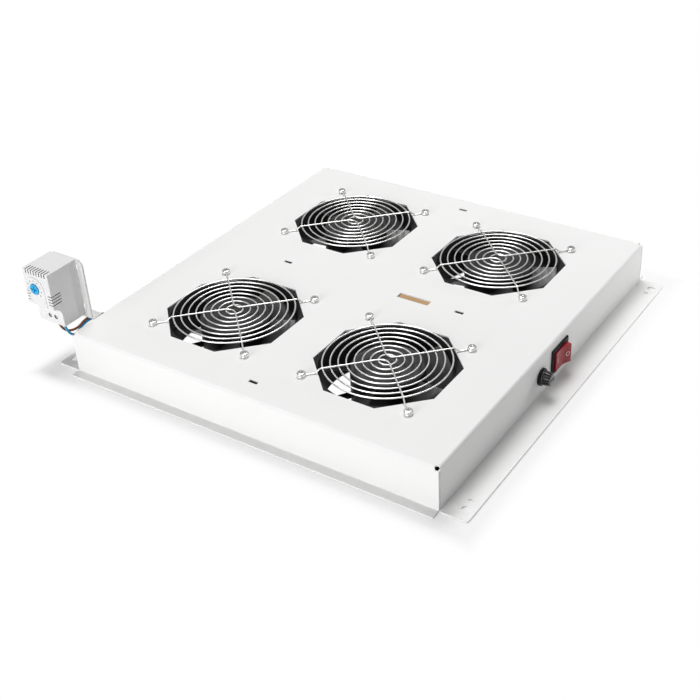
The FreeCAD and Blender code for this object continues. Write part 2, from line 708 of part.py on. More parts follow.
def finger_guard(x, y):
    """Eight concentric rings under two bent leg wires, spot-welded to them."""
    ring_z = TRAY_HEIGHT + GUARD_WIRE / 2 + GUARD_LIFT - GUARD_WIRE
    wires = []
    for k in range(GUARD_RINGS):
        radius = GUARD_FIRST_RADIUS + k * GUARD_RING_STEP
        wires.append(flat_ring(radius, 12 + 2 * k, ring_z))
    wires += [guard_leg(0), guard_leg(180)]
    for wire in wires:
        wire.translate(Vector(x, y, 0))
    return Part.makeCompound(wires)


def guard_screw(x, y):
    """Pan-head screw through an eyelet, the panel and the fan's upper flange."""
    seat = TRAY_HEIGHT + GUARD_WIRE
    end = FAN_TOP - FAN_FLANGE - GUARD_NUT - SCREW_PAST_NUT
    radius = SCREW_HEAD_DIAMETER / 2
    head = Part.makeCone(radius, radius - 1.2, SCREW_HEAD, Vector(x, y, seat))
    return joined([head, rod(SCREW_DIAMETER / 2, (x, y, end), (x, y, seat + 0.5))])


def nut(across, thick, bore, place, axis):
    """A hexagon nut with its first face at a place."""
    outline = [(px, py, 0) for px, py in regular(6, across, 30)]
    shape = prism(outline, (0, 0, thick)).cut(rod(bore, (0, 0, -1), (0, 0, thick + 1)))
    shape.Placement = FreeCAD.Placement(Vector(*place), FreeCAD.Rotation(Vector(0, 0, 1), Vector(*axis)))
    return shape


def rocker_reach():
    """How far a rocker's outer corner swings out along the wall when that end is pressed."""
    rise = ROCKER_PIVOT_DEPTH + ROCKER_PROUD + ROCKER_LENGTH / 2 * math.tan(math.radians(ROCKER_TILT))
    radius = math.hypot(ROCKER_LENGTH / 2, rise)
    angle = math.atan2(rise, ROCKER_LENGTH / 2) - math.radians(ROCKER_TILT)
    return radius * math.cos(angle)


def rocker():
    """The rocker, tilted to rest with its +X end raised, on two trunnion pins."""
    half = ROCKER_LENGTH / 2
    rise = half * math.tan(math.radians(ROCKER_TILT))
    face = -ROCKER_PROUD
    z0 = -ROCKER_HEIGHT / 2
    outline = [
        (-half, face - rise, z0),
        (0, face, z0),
        (half, face - rise, z0),
        (half, ROCKER_SKIRT - 2.4, z0),
        (3.0, ROCKER_KEEL, z0),
        (-3.0, ROCKER_KEEL, z0),
        (-half, ROCKER_SKIRT - 2.4, z0),
    ]
    block = prism(outline, (0, 0, ROCKER_HEIGHT))
    long_pin = ROCKER_HEIGHT / 2 + ROCKER_GAP + ROCKER_PIN_LENGTH
    pin = rod(ROCKER_PIN / 2, (0, ROCKER_PIVOT_DEPTH, -long_pin), (0, ROCKER_PIVOT_DEPTH, long_pin))
    shape = joined([block, pin])
    shape.rotate(Vector(0, ROCKER_PIVOT_DEPTH, 0), Vector(0, 0, 1), -ROCKER_TILT)
    shape.translate(Vector(SWITCH_X, FRONT_Y - BEZEL, SWITCH_Z))
    return shape


def switch_housing():
    """Bezel and housing of the rocker switch, with its recess and snap wings."""
    face = FRONT_Y - BEZEL
    bezel = box(SWITCH_X - BEZEL_LENGTH / 2, SWITCH_X + BEZEL_LENGTH / 2, face, FRONT_Y,
                SWITCH_Z - BEZEL_HEIGHT / 2, SWITCH_Z + BEZEL_HEIGHT / 2)
    rim = [e for e in bezel.Edges if all(abs(v.Y - face) < 0.01 for v in e.Vertexes)]
    bezel = bezel.makeChamfer(BEZEL_EDGE, rim)
    half_x, half_z = SWITCH_BODY_LENGTH / 2, SWITCH_BODY_HEIGHT / 2
    rear = FRONT_Y + SWITCH_BODY_DEPTH
    body = box(SWITCH_X - half_x, SWITCH_X + half_x, FRONT_Y, rear, SWITCH_Z - half_z, SWITCH_Z + half_z)
    wings = []
    wall = FRONT_Y + SHEET
    for sign in (-1, 1):
        x = SWITCH_X + sign * half_x
        outline = [
            (x, wall + 0.1, SWITCH_Z - SNAP_HEIGHT / 2),
            (x + sign * SNAP_PROUD, wall + 0.1, SWITCH_Z - SNAP_HEIGHT / 2),
            (x, wall + SNAP_LENGTH, SWITCH_Z - SNAP_HEIGHT / 2),
        ]
        wings.append(prism(outline, (0, 0, SNAP_HEIGHT)))
    housing = joined([bezel, body] + wings)
    reach = rocker_reach() + ROCKER_GAP
    high = ROCKER_HEIGHT / 2 + ROCKER_GAP
    swing = math.hypot(ROCKER_LENGTH / 2, ROCKER_PIVOT_DEPTH) + ROCKER_KEEL
    deep = face + max(ROCKER_KEEL + 1.0, swing * 0.5 + 1.5)
    recess = box(SWITCH_X - reach, SWITCH_X + reach, face - 1, deep, SWITCH_Z - high, SWITCH_Z + high)
    long_pin = high + ROCKER_PIN_LENGTH + 0.2
    pivot_y = face + ROCKER_PIVOT_DEPTH
    bore = rod(ROCKER_PIN / 2 + PIN_CLEARANCE, (SWITCH_X, pivot_y, SWITCH_Z - long_pin),
               (SWITCH_X, pivot_y, SWITCH_Z + long_pin))
    return cut(housing, [recess, bore])


def switch_terminals():
    """Four blade terminals behind the switch."""
    rear = FRONT_Y + SWITCH_BODY_DEPTH
    blades = []
    for sx, sz in corner_signs():
        x, z = SWITCH_X + sx * TERMINAL_SPACING_X / 2, SWITCH_Z + sz * TERMINAL_SPACING_Z / 2
        blade = box(x - TERMINAL_THICK / 2, x + TERMINAL_THICK / 2, rear, rear + TERMINAL_LENGTH,
                    z - TERMINAL_WIDTH / 2, z + TERMINAL_WIDTH / 2)
        middle = rear + TERMINAL_LENGTH * 0.6
        blades.append(blade.cut(rod(0.9, (x - 1, middle, z), (x + 1, middle, z))))
    return blades


def fuse_body():
    """Fuse holder: front flange, barrel and bore."""
    front, rear = FRONT_Y - FUSE_FLANGE, FRONT_Y + FUSE_BARREL_LENGTH
    shape = joined([
        rod(FUSE_FLANGE_DIAMETER / 2, (FUSE_X, front, FUSE_Z), (FUSE_X, FRONT_Y, FUSE_Z)),
        rod(FUSE_BARREL_DIAMETER / 2, (FUSE_X, FRONT_Y, FUSE_Z), (FUSE_X, rear, FUSE_Z)),
    ])
    bore = rod(FUSE_BORE_DIAMETER / 2, (FUSE_X, front - 1, FUSE_Z), (FUSE_X, rear - FUSE_BARREL_END, FUSE_Z))
    return shape.cut(bore)


def fuse_cap():
    """Ribbed, tapered cap with a screwdriver slot and a stem that holds the fuse."""
    base_y = FRONT_Y - FUSE_FLANGE - FUSE_CAP_GAP
    tip_y = base_y - FUSE_CAP_LENGTH
    cone = Part.makeCone(FUSE_CAP_BASE / 2, FUSE_CAP_TIP / 2, FUSE_CAP_LENGTH,
                         Vector(0, base_y, 0), Vector(0, -1, 0))
    flutes = []
    for k in range(FUSE_CAP_RIBS):
        angle = 2 * math.pi * k / FUSE_CAP_RIBS
        reach = FUSE_CAP_BASE / 2 + 0.3
        x, z = reach * math.cos(angle), reach * math.sin(angle)
        lean = (FUSE_CAP_BASE - FUSE_CAP_TIP) / 2
        inner = reach - lean
        end = (inner * math.cos(angle), tip_y - 0.5, inner * math.sin(angle))
        flutes.append(rod(0.9, (x, base_y - 1.4, z), end))
    slot = box(-FUSE_CAP_TIP, FUSE_CAP_TIP, tip_y - 1, tip_y + 1.6, -FUSE_CAP_SLOT / 2, FUSE_CAP_SLOT / 2)
    head = cut(cone, flutes + [slot])
    stem_end = base_y + FUSE_CAP_GAP + FUSE_STEM_LENGTH
    stem = rod(FUSE_BORE_DIAMETER / 2 - FUSE_STEM_CLEARANCE, (0, base_y, 0), (0, stem_end, 0))
    cap = joined([head, stem])
    socket = rod(FUSE_DIAMETER / 2 + FUSE_FIT, (0, stem_end - FUSE_SOCKET_DEPTH, 0), (0, stem_end + 1, 0))
    cap = cap.cut(socket)
    cap.translate(Vector(FUSE_X, 0, FUSE_Z))
    return cap


def fuse_start():
    """Where the fuse's front end sits in the cap's socket."""
    return FRONT_Y - FUSE_FLANGE + FUSE_STEM_LENGTH - FUSE_SOCKET_DEPTH + 0.05


def fuse_glass():
    """Glass tube of the cartridge fuse."""
    start = fuse_start() + 0.5
    radius = FUSE_DIAMETER / 2 - FUSE_END_CAP_WALL
    tube = rod(radius, (FUSE_X, start, FUSE_Z), (FUSE_X, start + FUSE_LENGTH - 1.0, FUSE_Z))
    return tube.cut(rod(radius - 0.7, (FUSE_X, start - 1, FUSE_Z), (FUSE_X, start + FUSE_LENGTH, FUSE_Z)))


def fuse_end_caps():
    """Two metal end caps on the glass tube."""
    start = fuse_start()
    caps = []
    for low, inside in ((start, 1), (start + FUSE_LENGTH - FUSE_END_CAP, -1)):
        cap = rod(FUSE_DIAMETER / 2, (FUSE_X, low, FUSE_Z), (FUSE_X, low + FUSE_END_CAP, FUSE_Z))
        hollow_low = low + 0.5 if inside > 0 else low - 1
        hollow_high = low + FUSE_END_CAP + 1 if inside > 0 else low + FUSE_END_CAP - 0.5
        radius = FUSE_DIAMETER / 2 - FUSE_END_CAP_WALL
        caps.append(cap.cut(rod(radius, (FUSE_X, hollow_low, FUSE_Z), (FUSE_X, hollow_high, FUSE_Z))))
    return caps


def fuse_tags():
    """Rear and side solder tags of the fuse holder."""
    rear = FRONT_Y + FUSE_BARREL_LENGTH
    width, thick = FUSE_TAG_WIDTH / 2, FUSE_TAG_THICK / 2
    back = box(FUSE_X - width, FUSE_X + width, rear, rear + FUSE_TAG_LENGTH, FUSE_Z - thick, FUSE_Z + thick)
    low = FUSE_Z - FUSE_BARREL_DIAMETER / 2
    side_y = rear - 10.0
    side = box(FUSE_X - width, FUSE_X + width, side_y - thick, side_y + thick,
               low - FUSE_TAG_LENGTH * 0.6, low)
    side = side.cut(rod(0.9, (FUSE_X, side_y - 1, low - 3), (FUSE_X, side_y + 1, low - 3)))
    back = back.cut(rod(0.9, (FUSE_X, rear + 5, FUSE_Z - 1), (FUSE_X, rear + 5, FUSE_Z + 1)))
    return [back, side]


def bracket():
    """Bent thermostat bracket: wall tab, foot at panel height and upright plate with two windows."""
    t = BRACKET_SHEET
    x0, x1 = PLATE_X, PLATE_X + BRACKET_FOOT_WIDTH
    y1 = REAR_Y + BRACKET_PLATE_LENGTH
    top = TRAY_HEIGHT
    plate_top = THERMO_Z + THERMO_HEIGHT
    c = BRACKET_CHAMFER
    plate = prism([(x0, REAR_Y + t, top - t), (x0, REAR_Y + t, plate_top - c),
                   (x0, REAR_Y + t + c, plate_top),
                   (x0, y1 - c, plate_top), (x0, y1, plate_top - c), (x0, y1, top - t)], (t, 0, 0))
    foot = box(x0, x1, REAR_Y, y1, top - t, top)
    tab = box(x0, x0 + BRACKET_TAB_WIDTH, REAR_Y, REAR_Y + t, top - BRACKET_TAB_HEIGHT, top - BEND_OUTER)
    neck = box(x0, x1, REAR_Y, REAR_Y + t, top - BEND_OUTER - 1, top)
    shape = joined([plate, foot, tab, neck])
    outer = [e for e in shape.Edges
             if abs(e.CenterOfMass.x - x0) < 0.01 and abs(e.CenterOfMass.z - (top - t)) < 0.01]
    if outer:
        shape = shape.makeFillet(t * 0.9, outer)
    tools = []
    middle = plate_top - THERMO_HEIGHT / 2
    w0 = REAR_Y + RAIL_WINDOW_EDGE
    for sign in (-1, 1):
        near = middle + sign * RAIL_HEIGHT / 2
        low, high = sorted((near, near + sign * RAIL_WINDOW_HEIGHT))
        tools.append(box(x0 - 1, x0 + t + 1, w0, w0 + RAIL_WINDOW_LENGTH, low, high))
    for x, z in bracket_screw_places():
        tools.append(rod(SCREW_DIAMETER / 2 + 0.25, (x, REAR_Y - 1, z), (x, REAR_Y + t + 1, z)))
    return cut(shape, tools)


def bracket_screws():
    """Two pan-head screws through the bracket's tab and the rear wall."""
    screws = []
    seat = REAR_Y + BRACKET_SHEET
    end = REAR_Y - SHEET - GUARD_NUT - SCREW_PAST_NUT
    for x, z in bracket_screw_places():
        head = Part.makeCone(SCREW_HEAD_DIAMETER / 2, SCREW_HEAD_DIAMETER / 2 - 1.2, SCREW_HEAD,
                             Vector(x, seat, z), Vector(0, 1, 0))
        screws.append(joined([head, rod(SCREW_DIAMETER / 2, (x, end, z), (x, seat + 0.5, z))]))
    return screws


def thermo_outline(inset, x_back):
    """Side outline of the thermostat, drawn in by a wall, from its front back to a plane."""
    front = PLATE_X - THERMO_DEPTH + inset
    low, high = THERMO_Z + inset, THERMO_Z + THERMO_HEIGHT - inset
    step_x = front + THERMO_SETBACK
    step_top, step_low = THERMO_Z + THERMO_STEP_TOP + inset, THERMO_Z + THERMO_STEP_BOTTOM + inset
    rise = step_top - step_low
    radius = (THERMO_SETBACK ** 2 + rise ** 2) / (2 * THERMO_SETBACK)
    angle = math.asin(rise / radius) / 2
    middle = (step_x - radius + radius * math.cos(angle), step_low + radius * math.sin(angle))
    y = THERMO_Y + inset
    spots = [Vector(px, y, pz) for px, pz in
             [(x_back, low), (step_x, low), (step_x, step_low), middle,
              (front, step_top), (front, high), (x_back, high)]]
    edges = [
        Part.LineSegment(spots[0], spots[1]).toShape(),
        Part.LineSegment(spots[1], spots[2]).toShape(),
        Part.Arc(spots[2], spots[3], spots[4]).toShape(),
        Part.LineSegment(spots[4], spots[5]).toShape(),
        Part.LineSegment(spots[5], spots[6]).toShape(),
        Part.LineSegment(spots[6], spots[0]).toShape(),
    ]
    width = THERMO_WIDTH - 2 * inset
    return Part.Face(Part.Wire(edges)).extrude(Vector(0, width, 0))


def clamp_places():
    """Centres of the two screw clamps across the width."""
    first = THERMO_Y + CLAMP_FROM_EDGE
    return [first, first + CLAMP_SPACING]


def clamp_x():
    """Front of the clamp blocks inside the set-back lower wall."""
    return PLATE_X - THERMO_DEPTH + THERMO_SETBACK + THERMO_WALL + 1.0


def dial_place():
    """Centre of the dial across the width and up."""
    return THERMO_Y + DIAL_FROM_EDGE, THERMO_Z + DIAL_Z


def thermostat_cover():
    """Front shell with its set-back foot, raised panel, louvres, grooves and openings."""
    split = PLATE_X - THERMO_BASE_DEPTH
    front = PLATE_X - THERMO_DEPTH
    shell = thermo_outline(0.0, split)
    cy, cz = dial_place()
    y0 = cy - THERMO_PANEL_ARCH
    y1 = y0 + THERMO_PANEL_WIDTH
    low = THERMO_Z + THERMO_PANEL_BOTTOM
    proud = front - THERMO_PANEL_PROUD
    arch = rod(THERMO_PANEL_ARCH, (proud, cy, cz), (front + 0.1, cy, cz))
    raised = joined([arch, box(proud, front + 0.1, y0, y1, low, cz)])
    inside = box(proud, front + 0.1, y0, THERMO_Y + THERMO_WIDTH, low, cz + 40)
    shell = joined([shell, raised.common(inside)])
    hollow = thermo_outline(THERMO_WALL, split + 1)
    tools = [hollow]
    top = THERMO_Z + THERMO_HEIGHT
    first = THERMO_Y + (THERMO_WIDTH - (LOUVRE_COUNT - 1) * LOUVRE_STEP) / 2
    for k in range(LOUVRE_COUNT):
        y = first + k * LOUVRE_STEP
        tools.append(box(front - 1, front + LOUVRE_BACK, y - LOUVRE_WIDTH / 2, y + LOUVRE_WIDTH / 2,
                         top - LOUVRE_DROP, top + 1).cut(
            box(front + THERMO_WALL / 2, front + LOUVRE_BACK + 1, y - 1, y + 1, top - LOUVRE_DROP - 1,
                top - THERMO_WALL / 2)))
    for k in range(GROOVE_COUNT):
        z = THERMO_Z + GROOVE_FIRST_Z + k * GROOVE_STEP
        for y, into in ((THERMO_Y, 1), (THERMO_Y + THERMO_WIDTH, -1)):
            side = sorted((y - into, y + into * GROOVE_DEPTH))
            edge = sorted((y - into, y + into * 4.5))
            tools.append(box(front - 1, front + GROOVE_SIDE_LENGTH, *side, z, z + GROOVE_HEIGHT))
            tools.append(box(front - 1, front + GROOVE_DEPTH, *edge, z, z + GROOVE_HEIGHT))
    vent_z = THERMO_Z + THERMO_STEP_TOP - 4.6
    for k in range(VENT_COUNT):
        y = THERMO_Y + THERMO_WIDTH / 2 - 7 + k * VENT_STEP
        vent = box(front - 2, front + THERMO_SETBACK + 3, y - VENT_WIDTH / 2, y + VENT_WIDTH / 2,
                   vent_z - VENT_HEIGHT / 2, vent_z + VENT_HEIGHT / 2)
        vent.rotate(Vector(0, y, vent_z), Vector(1, 0, 0), VENT_LEAN)
        tools.append(vent)
    tools.append(rod(DIAL_DIAMETER / 2 + DIAL_CLEARANCE, (proud - 1, cy, cz), (front + 5, cy, cz)))
    lower = front + THERMO_SETBACK
    for y in clamp_places():
        z = THERMO_Z + CLAMP_Z
        tools.append(rod(CLAMP_HOLE / 2, (lower - 1, y, z), (lower + THERMO_WALL + 0.5, y, z)))
        tools.append(rod(LEAD_DIAMETER / 2 + 0.3, (clamp_x() + CLAMP_BLOCK_DEPTH / 2, y, THERMO_Z - 1),
                         (clamp_x() + CLAMP_BLOCK_DEPTH / 2, y, THERMO_Z + THERMO_WALL + 0.5)))
    return cut(shell, tools)


def thermostat_base():
    """Rear housing with the dial's bearing boss and the two hooks that grip the bracket's web."""
    split = PLATE_X - THERMO_BASE_DEPTH
    y0, y1 = THERMO_Y, THERMO_Y + THERMO_WIDTH
    z0, z1 = THERMO_Z, THERMO_Z + THERMO_HEIGHT
    wall = THERMO_WALL
    body = box(split, PLATE_X, y0, y1, z0, z1)
    body = body.cut(box(split - 1, PLATE_X - wall, y0 + wall, y1 - wall, z0 + wall, z1 - wall))
    cy, cz = dial_place()
    boss_r = DIAL_STEM_DIAMETER / 2 + PIN_CLEARANCE + DIAL_BOSS_WALL
    stem_end = PLATE_X - THERMO_DEPTH - DIAL_PROUD + DIAL_DISC + DIAL_STEM_LENGTH
    boss_start = stem_end - DIAL_STEM_LENGTH * 0.6
    boss = rod(boss_r, (boss_start, cy, cz), (PLATE_X - wall, cy, cz))
    body = joined([body, boss])
    bore_r = DIAL_STEM_DIAMETER / 2 + PIN_CLEARANCE
    body = body.cut(rod(bore_r, (boss_start - 1, cy, cz), (stem_end + 0.3, cy, cz)))
    middle = THERMO_Z + THERMO_HEIGHT / 2
    hook_y = THERMO_Y + THERMO_WIDTH / 2
    behind = PLATE_X + BRACKET_SHEET + RAIL_HOOK_GAP
    hooks = []
    for sign in (-1, 1):
        near = middle + sign * (RAIL_HEIGHT / 2 + RAIL_HOOK_GAP)
        low, high = sorted((near, near + sign * RAIL_HOOK))
        arm = box(PLATE_X - 0.5, behind + RAIL_HOOK,
                  hook_y - RAIL_HOOK_WIDTH / 2, hook_y + RAIL_HOOK_WIDTH / 2, low, high)
        lip_low, lip_high = sorted((near + sign * RAIL_HOOK, near - sign * RAIL_HOOK_LIP))
        lip = box(behind, behind + RAIL_HOOK, hook_y - RAIL_HOOK_WIDTH / 2, hook_y + RAIL_HOOK_WIDTH / 2,
                  lip_low, lip_high)
        hooks += [arm, lip]
    return joined([body] + hooks)


def thermostat_dial():
    """The setting dial: a disc with a cross slot on a stem."""
    cy, cz = dial_place()
    face = PLATE_X - THERMO_DEPTH - DIAL_PROUD
    disc_end = face + DIAL_DISC
    shape = joined([
        rod(DIAL_DIAMETER / 2, (face, cy, cz), (disc_end, cy, cz)),
        rod(DIAL_STEM_DIAMETER / 2, (disc_end, cy, cz), (disc_end + DIAL_STEM_LENGTH, cy, cz)),
    ])
    half, wide = DIAL_SLOT_LENGTH / 2, DIAL_SLOT / 2
    slots = [box(face - 1, face + 1.2, cy - half, cy + half, cz - wide, cz + wide),
             box(face - 1, face + 1.2, cy - wide, cy + wide, cz - half, cz + half)]
    return cut(shape, slots)


def clamp_blocks():
    """Two terminal clamps behind the screw holes."""
    x = clamp_x()
    blocks = []
    for y in clamp_places():
        z = THERMO_Z + THERMO_WALL
        block = box(x, x + CLAMP_BLOCK_DEPTH, y - CLAMP_BLOCK_WIDTH / 2, y + CLAMP_BLOCK_WIDTH / 2,
                    z, z + CLAMP_BLOCK_HEIGHT)
        middle = x + CLAMP_BLOCK_DEPTH / 2
        tools = [rod(LEAD_DIAMETER / 2, (middle, y, z - 1), (middle, y, z + LEAD_DIAMETER * 1.6)),
                 rod(CLAMP_SCREW_DIAMETER / 2 - 0.6, (x - 1, y, THERMO_Z + CLAMP_Z),
                     (x + 2.2, y, THERMO_Z + CLAMP_Z))]
        blocks.append(cut(block, tools))
    return blocks


def clamp_screws():
    """Cross-slotted screws in the two clamps."""
    x = clamp_x()
    screws = []
    for y in clamp_places():
        z = THERMO_Z + CLAMP_Z
        radius = CLAMP_SCREW_DIAMETER / 2
        head = rod(radius, (x - 1.8, y, z), (x, y, z))
        screw = joined([head, rod(radius - 0.6, (x - 0.5, y, z), (x + 2.2, y, z))])
        slots = [box(x - 2.5, x - 1.1, y - 1.2, y + 1.2, z - 0.3, z + 0.3)]
        screws.append(cut(screw, slots))
    return screws


def lead_points(which):
    """Hand-chosen route of one thermostat lead, from its clamp to the terminal strip."""
    lift = LEAD_STACK * (0.5 - which)
    x = clamp_x() + CLAMP_BLOCK_DEPTH / 2
    y = clamp_places()[1 - which]
    ends = [
        [(-22.0, -24.5, 33.2), (-15.5, strip_poles()[-1], 34.2)],
        [(-22.0, -32.5, 30.8), (-16.0, strip_poles()[-2], 34.2)],
    ]
    pole = strip_poles()[-1 - which]
    height = PANEL_UNDER - BOARD_THICK - STRIP_WAIST / 2
    shared = [
        (-178.0, 207.0, 28.0),
        (-170.0, 204.5, 34.0),
        (-159.0, 204.0, 33.5),
        (-148.0, 203.5, 28.5),
        (-137.5, 200.5, 24.5),
        (-133.0, 192.0, 24.0),
        (-132.5, 177.0, 24.3),
        (-121.0, 162.5, 26.0),
        (-90.0, 159.0, 29.0),
        (-50.0, 158.0, 31.5),
        (-14.0, 154.0, 32.8),
        (0.0, 134.0, 33.3),
        (0.0, BRIDGE_Y, LEAD_AT_TIE),
        (-4.0, 52.0, 32.0),
        (-18.0, 16.0, 31.2),
        (-22.0, -10.0, 31.4),
    ]
    route = [
        (x, y, THERMO_Z + THERMO_WALL),
        (x + 0.4, y - 1.0, THERMO_Z - 8.5 + lift / 2),
        (x + 5.4, y - 3.0 - 1.4 * (1 - which), THERMO_Z - 17.0 + lift),
    ]
    route += [(px, py, pz + lift) for px, py, pz in shared]
    route += ends[which]
    route.append((-STRIP_WIDTH / 2 + STRIP_TUBE_IN, pole, height))
    return route


def corner_arcs(points):
    """Straight runs joined by tangent arcs through a list of points, and the radii used."""
    spots = [Vector(*p) for p in points]
    edges, radii = [], []
    start = spots[0]
    for before, here, after in zip(spots, spots[1:], spots[2:]):
        back, ahead = before - here, after - here
        turn = math.pi - back.getAngle(ahead)
        reach = 0.45 * min(back.Length, ahead.Length)
        radii.append(reach / math.tan(turn / 2))
        back.normalize()
        ahead.normalize()
        enter, leave = here + back * reach, here + ahead * reach
        inward = (back + ahead).normalize()
        centre_reach = math.hypot(reach, radii[-1])
        middle = here + inward * (centre_reach - radii[-1])
        edges.append(Part.LineSegment(start, enter).toShape())
        edges.append(Part.Arc(enter, middle, leave).toShape())
        start = leave
    edges.append(Part.LineSegment(start, spots[-1]).toShape())
    return Part.Wire(edges), radii


def lead(which):
    """One thermostat lead as a tube along its route."""
    path, radii = corner_arcs(lead_points(which))
    first = path.Edges[0]
    direction = first.tangentAt(first.FirstParameter)
    circle = Part.makeCircle(LEAD_DIAMETER / 2, path.Edges[0].Vertexes[0].Point, direction)
    tube = path.makePipeShell([Part.Wire(circle)], True, False)
    area = math.pi * LEAD_DIAMETER ** 2 / 4
    print("lead", which, "length %.1f" % path.Length, "least radius %.1f" % min(radii),
          "volume ratio %.4f" % (tube.Volume / (area * path.Length)))
    return tube


def grommet():
    """Rubber grommet in the rear wall round the thermostat leads."""
    x, z = -TRAY_WIDTH / 2 + GROMMET_X, GROMMET_Z
    shape = joined([
        rod(GROMMET_FLANGE / 2, (x, REAR_Y, z), (x, REAR_Y + GROMMET_LIP, z)),
        rod(GROMMET_HOLE / 2, (x, REAR_Y - SHEET, z), (x, REAR_Y, z)),
        rod(GROMMET_FLANGE / 2, (x, REAR_Y - SHEET - GROMMET_LIP, z), (x, REAR_Y - SHEET, z)),
    ])
    return shape.cut(rod(GROMMET_BORE / 2, (x, REAR_Y - 10, z), (x, REAR_Y + 10, z)))


def mains_bush():
    """Snap-in strain-relief bush in the rear wall for the mains cable."""
    x, z = TRAY_WIDTH / 2 - BUSH_FROM_END, GROMMET_Z
    inside = REAR_Y - SHEET - BUSH_INSIDE
    shape = joined([
        rod(BUSH_FLANGE / 2, (x, REAR_Y, z), (x, REAR_Y + BUSH_FLANGE_THICK, z)),
        rod(BUSH_HOLE / 2 - 0.1, (x, inside, z), (x, REAR_Y, z)),
    ])
    tools = [
        rod(BUSH_BORE / 2, (x, inside - 1, z), (x, REAR_Y + 5, z)),
        box(x - BUSH_SLIT / 2, x + BUSH_SLIT / 2, inside - 1, REAR_Y - SHEET - 1,
            z - BUSH_HOLE, z + BUSH_HOLE),
    ]
    return cut(shape, tools)


def stud_places():
    """Where the two weld studs hold the terminal board."""
    reach = BOARD_LENGTH / 2 - BOARD_STUD_EDGE
    return [BOARD_SLOT_Y - reach, BOARD_SLOT_Y + reach]


def terminal_board():
    """Resin-bonded paper board under the panel's slot."""
    board = box(-BOARD_WIDTH / 2, BOARD_WIDTH / 2, BOARD_SLOT_Y - BOARD_LENGTH / 2,
                BOARD_SLOT_Y + BOARD_LENGTH / 2, PANEL_UNDER - BOARD_THICK, PANEL_UNDER)
    holes = [rod(STUD_DIAMETER / 2 + STUD_CLEARANCE, (0, y, PANEL_UNDER - 5), (0, y, PANEL_UNDER + 1))
             for y in stud_places()]
    return cut(board, holes)


def weld_studs():
    """Weld studs under the panel for the board."""
    low = PANEL_UNDER - STUD_LENGTH
    return [rod(STUD_DIAMETER / 2, (0, y, low), (0, y, PANEL_UNDER)) for y in stud_places()]


def stud_nuts():
    """Nuts under the board."""
    low = PANEL_UNDER - BOARD_THICK
    down = (0, 0, -1)
    return [nut(STUD_NUT_ACROSS, STUD_NUT, STUD_DIAMETER / 2, (0, y, low), down) for y in stud_places()]


def strip_poles():
    """Centres of the terminal strip's poles along Y."""
    first = BOARD_SLOT_Y - (STRIP_POLES - 1) * STRIP_PITCH / 2
    return [first + k * STRIP_PITCH for k in range(STRIP_POLES)]


def terminal_strip():
    """Moulded terminal strip under the board: waisted blocks on a thin web."""
    top = PANEL_UNDER - BOARD_THICK
    low = top - STRIP_HEIGHT
    pieces = []
    length = STRIP_PITCH - STRIP_GAP
    for y in strip_poles():
        base = box(-STRIP_WIDTH / 2, STRIP_WIDTH / 2, y - length / 2, y + length / 2, top - STRIP_WAIST, top)
        tower = box(-STRIP_WIDTH / 2 + 1.5, STRIP_WIDTH / 2 - 1.5, y - length / 2, y + length / 2, low, top)
        pieces += [base, tower]
    poles = strip_poles()
    pieces.append(box(-STRIP_WIDTH / 2 + 3, STRIP_WIDTH / 2 - 3, poles[0], poles[-1], top - 3.0, top))
    strip = joined(pieces)
    tools = []
    for y in poles:
        wire_z = top - STRIP_WAIST / 2
        tools.append(rod(STRIP_WIRE_HOLE / 2, (-STRIP_WIDTH, y, wire_z), (STRIP_WIDTH, y, wire_z)))
        for x in (-3.8, 3.8):
            tools.append(rod(STRIP_SCREW_HOLE / 2, (x, y, low - 1), (x, y, wire_z)))
    return cut(strip, tools)


def strip_clamps():
    """Brass tubes in the strip's poles."""
    top = PANEL_UNDER - BOARD_THICK
    wire_z = top - STRIP_WAIST / 2
    half = STRIP_WIDTH / 2 - STRIP_TUBE_IN
    tubes = []
    for y in strip_poles():
        tube = rod(STRIP_WIRE_HOLE / 2, (-half, y, wire_z), (half, y, wire_z))
        bore = STRIP_WIRE_HOLE / 2 - STRIP_TUBE_WALL
        tubes.append(tube.cut(rod(bore, (-half - 1, y, wire_z), (half + 1, y, wire_z))))
    return tubes


def strip_screws():
    """Clamp screws of the terminal strip."""
    top = PANEL_UNDER - BOARD_THICK
    low = top - STRIP_HEIGHT + STRIP_SCREW_SINK
    end = top - STRIP_WAIST / 2 - STRIP_WIRE_HOLE / 2
    screws = []
    for y in strip_poles():
        for x in (-3.8, 3.8):
            screw = rod(STRIP_SCREW_HOLE / 2 - 0.1, (x, y, low), (x, y, end))
            screws.append(screw.cut(box(x - 2, x + 2, y - 0.3, y + 0.3, low - 1, low + 0.7)))
    return screws


def earth_stud():
    """Earth stud welded under the panel."""
    low = PANEL_UNDER - EARTH_STUD_LENGTH
    return rod(EARTH_STUD_DIAMETER / 2, (0, EARTH_STUD_Y, low), (0, EARTH_STUD_Y, PANEL_UNDER))


def earth_hardware():
    """Washer and nut on the earth stud."""
    y = EARTH_STUD_Y
    washer = rod(EARTH_WASHER_DIAMETER / 2, (0, y, PANEL_UNDER - EARTH_WASHER), (0, y, PANEL_UNDER))
    washer = washer.cut(rod(EARTH_STUD_DIAMETER / 2, (0, y, 0), (0, y, PANEL_UNDER + 1)))
    low = PANEL_UNDER - EARTH_WASHER
    return [washer, nut(EARTH_NUT_ACROSS, EARTH_NUT, EARTH_STUD_DIAMETER / 2, (0, y, low), (0, 0, -1))]


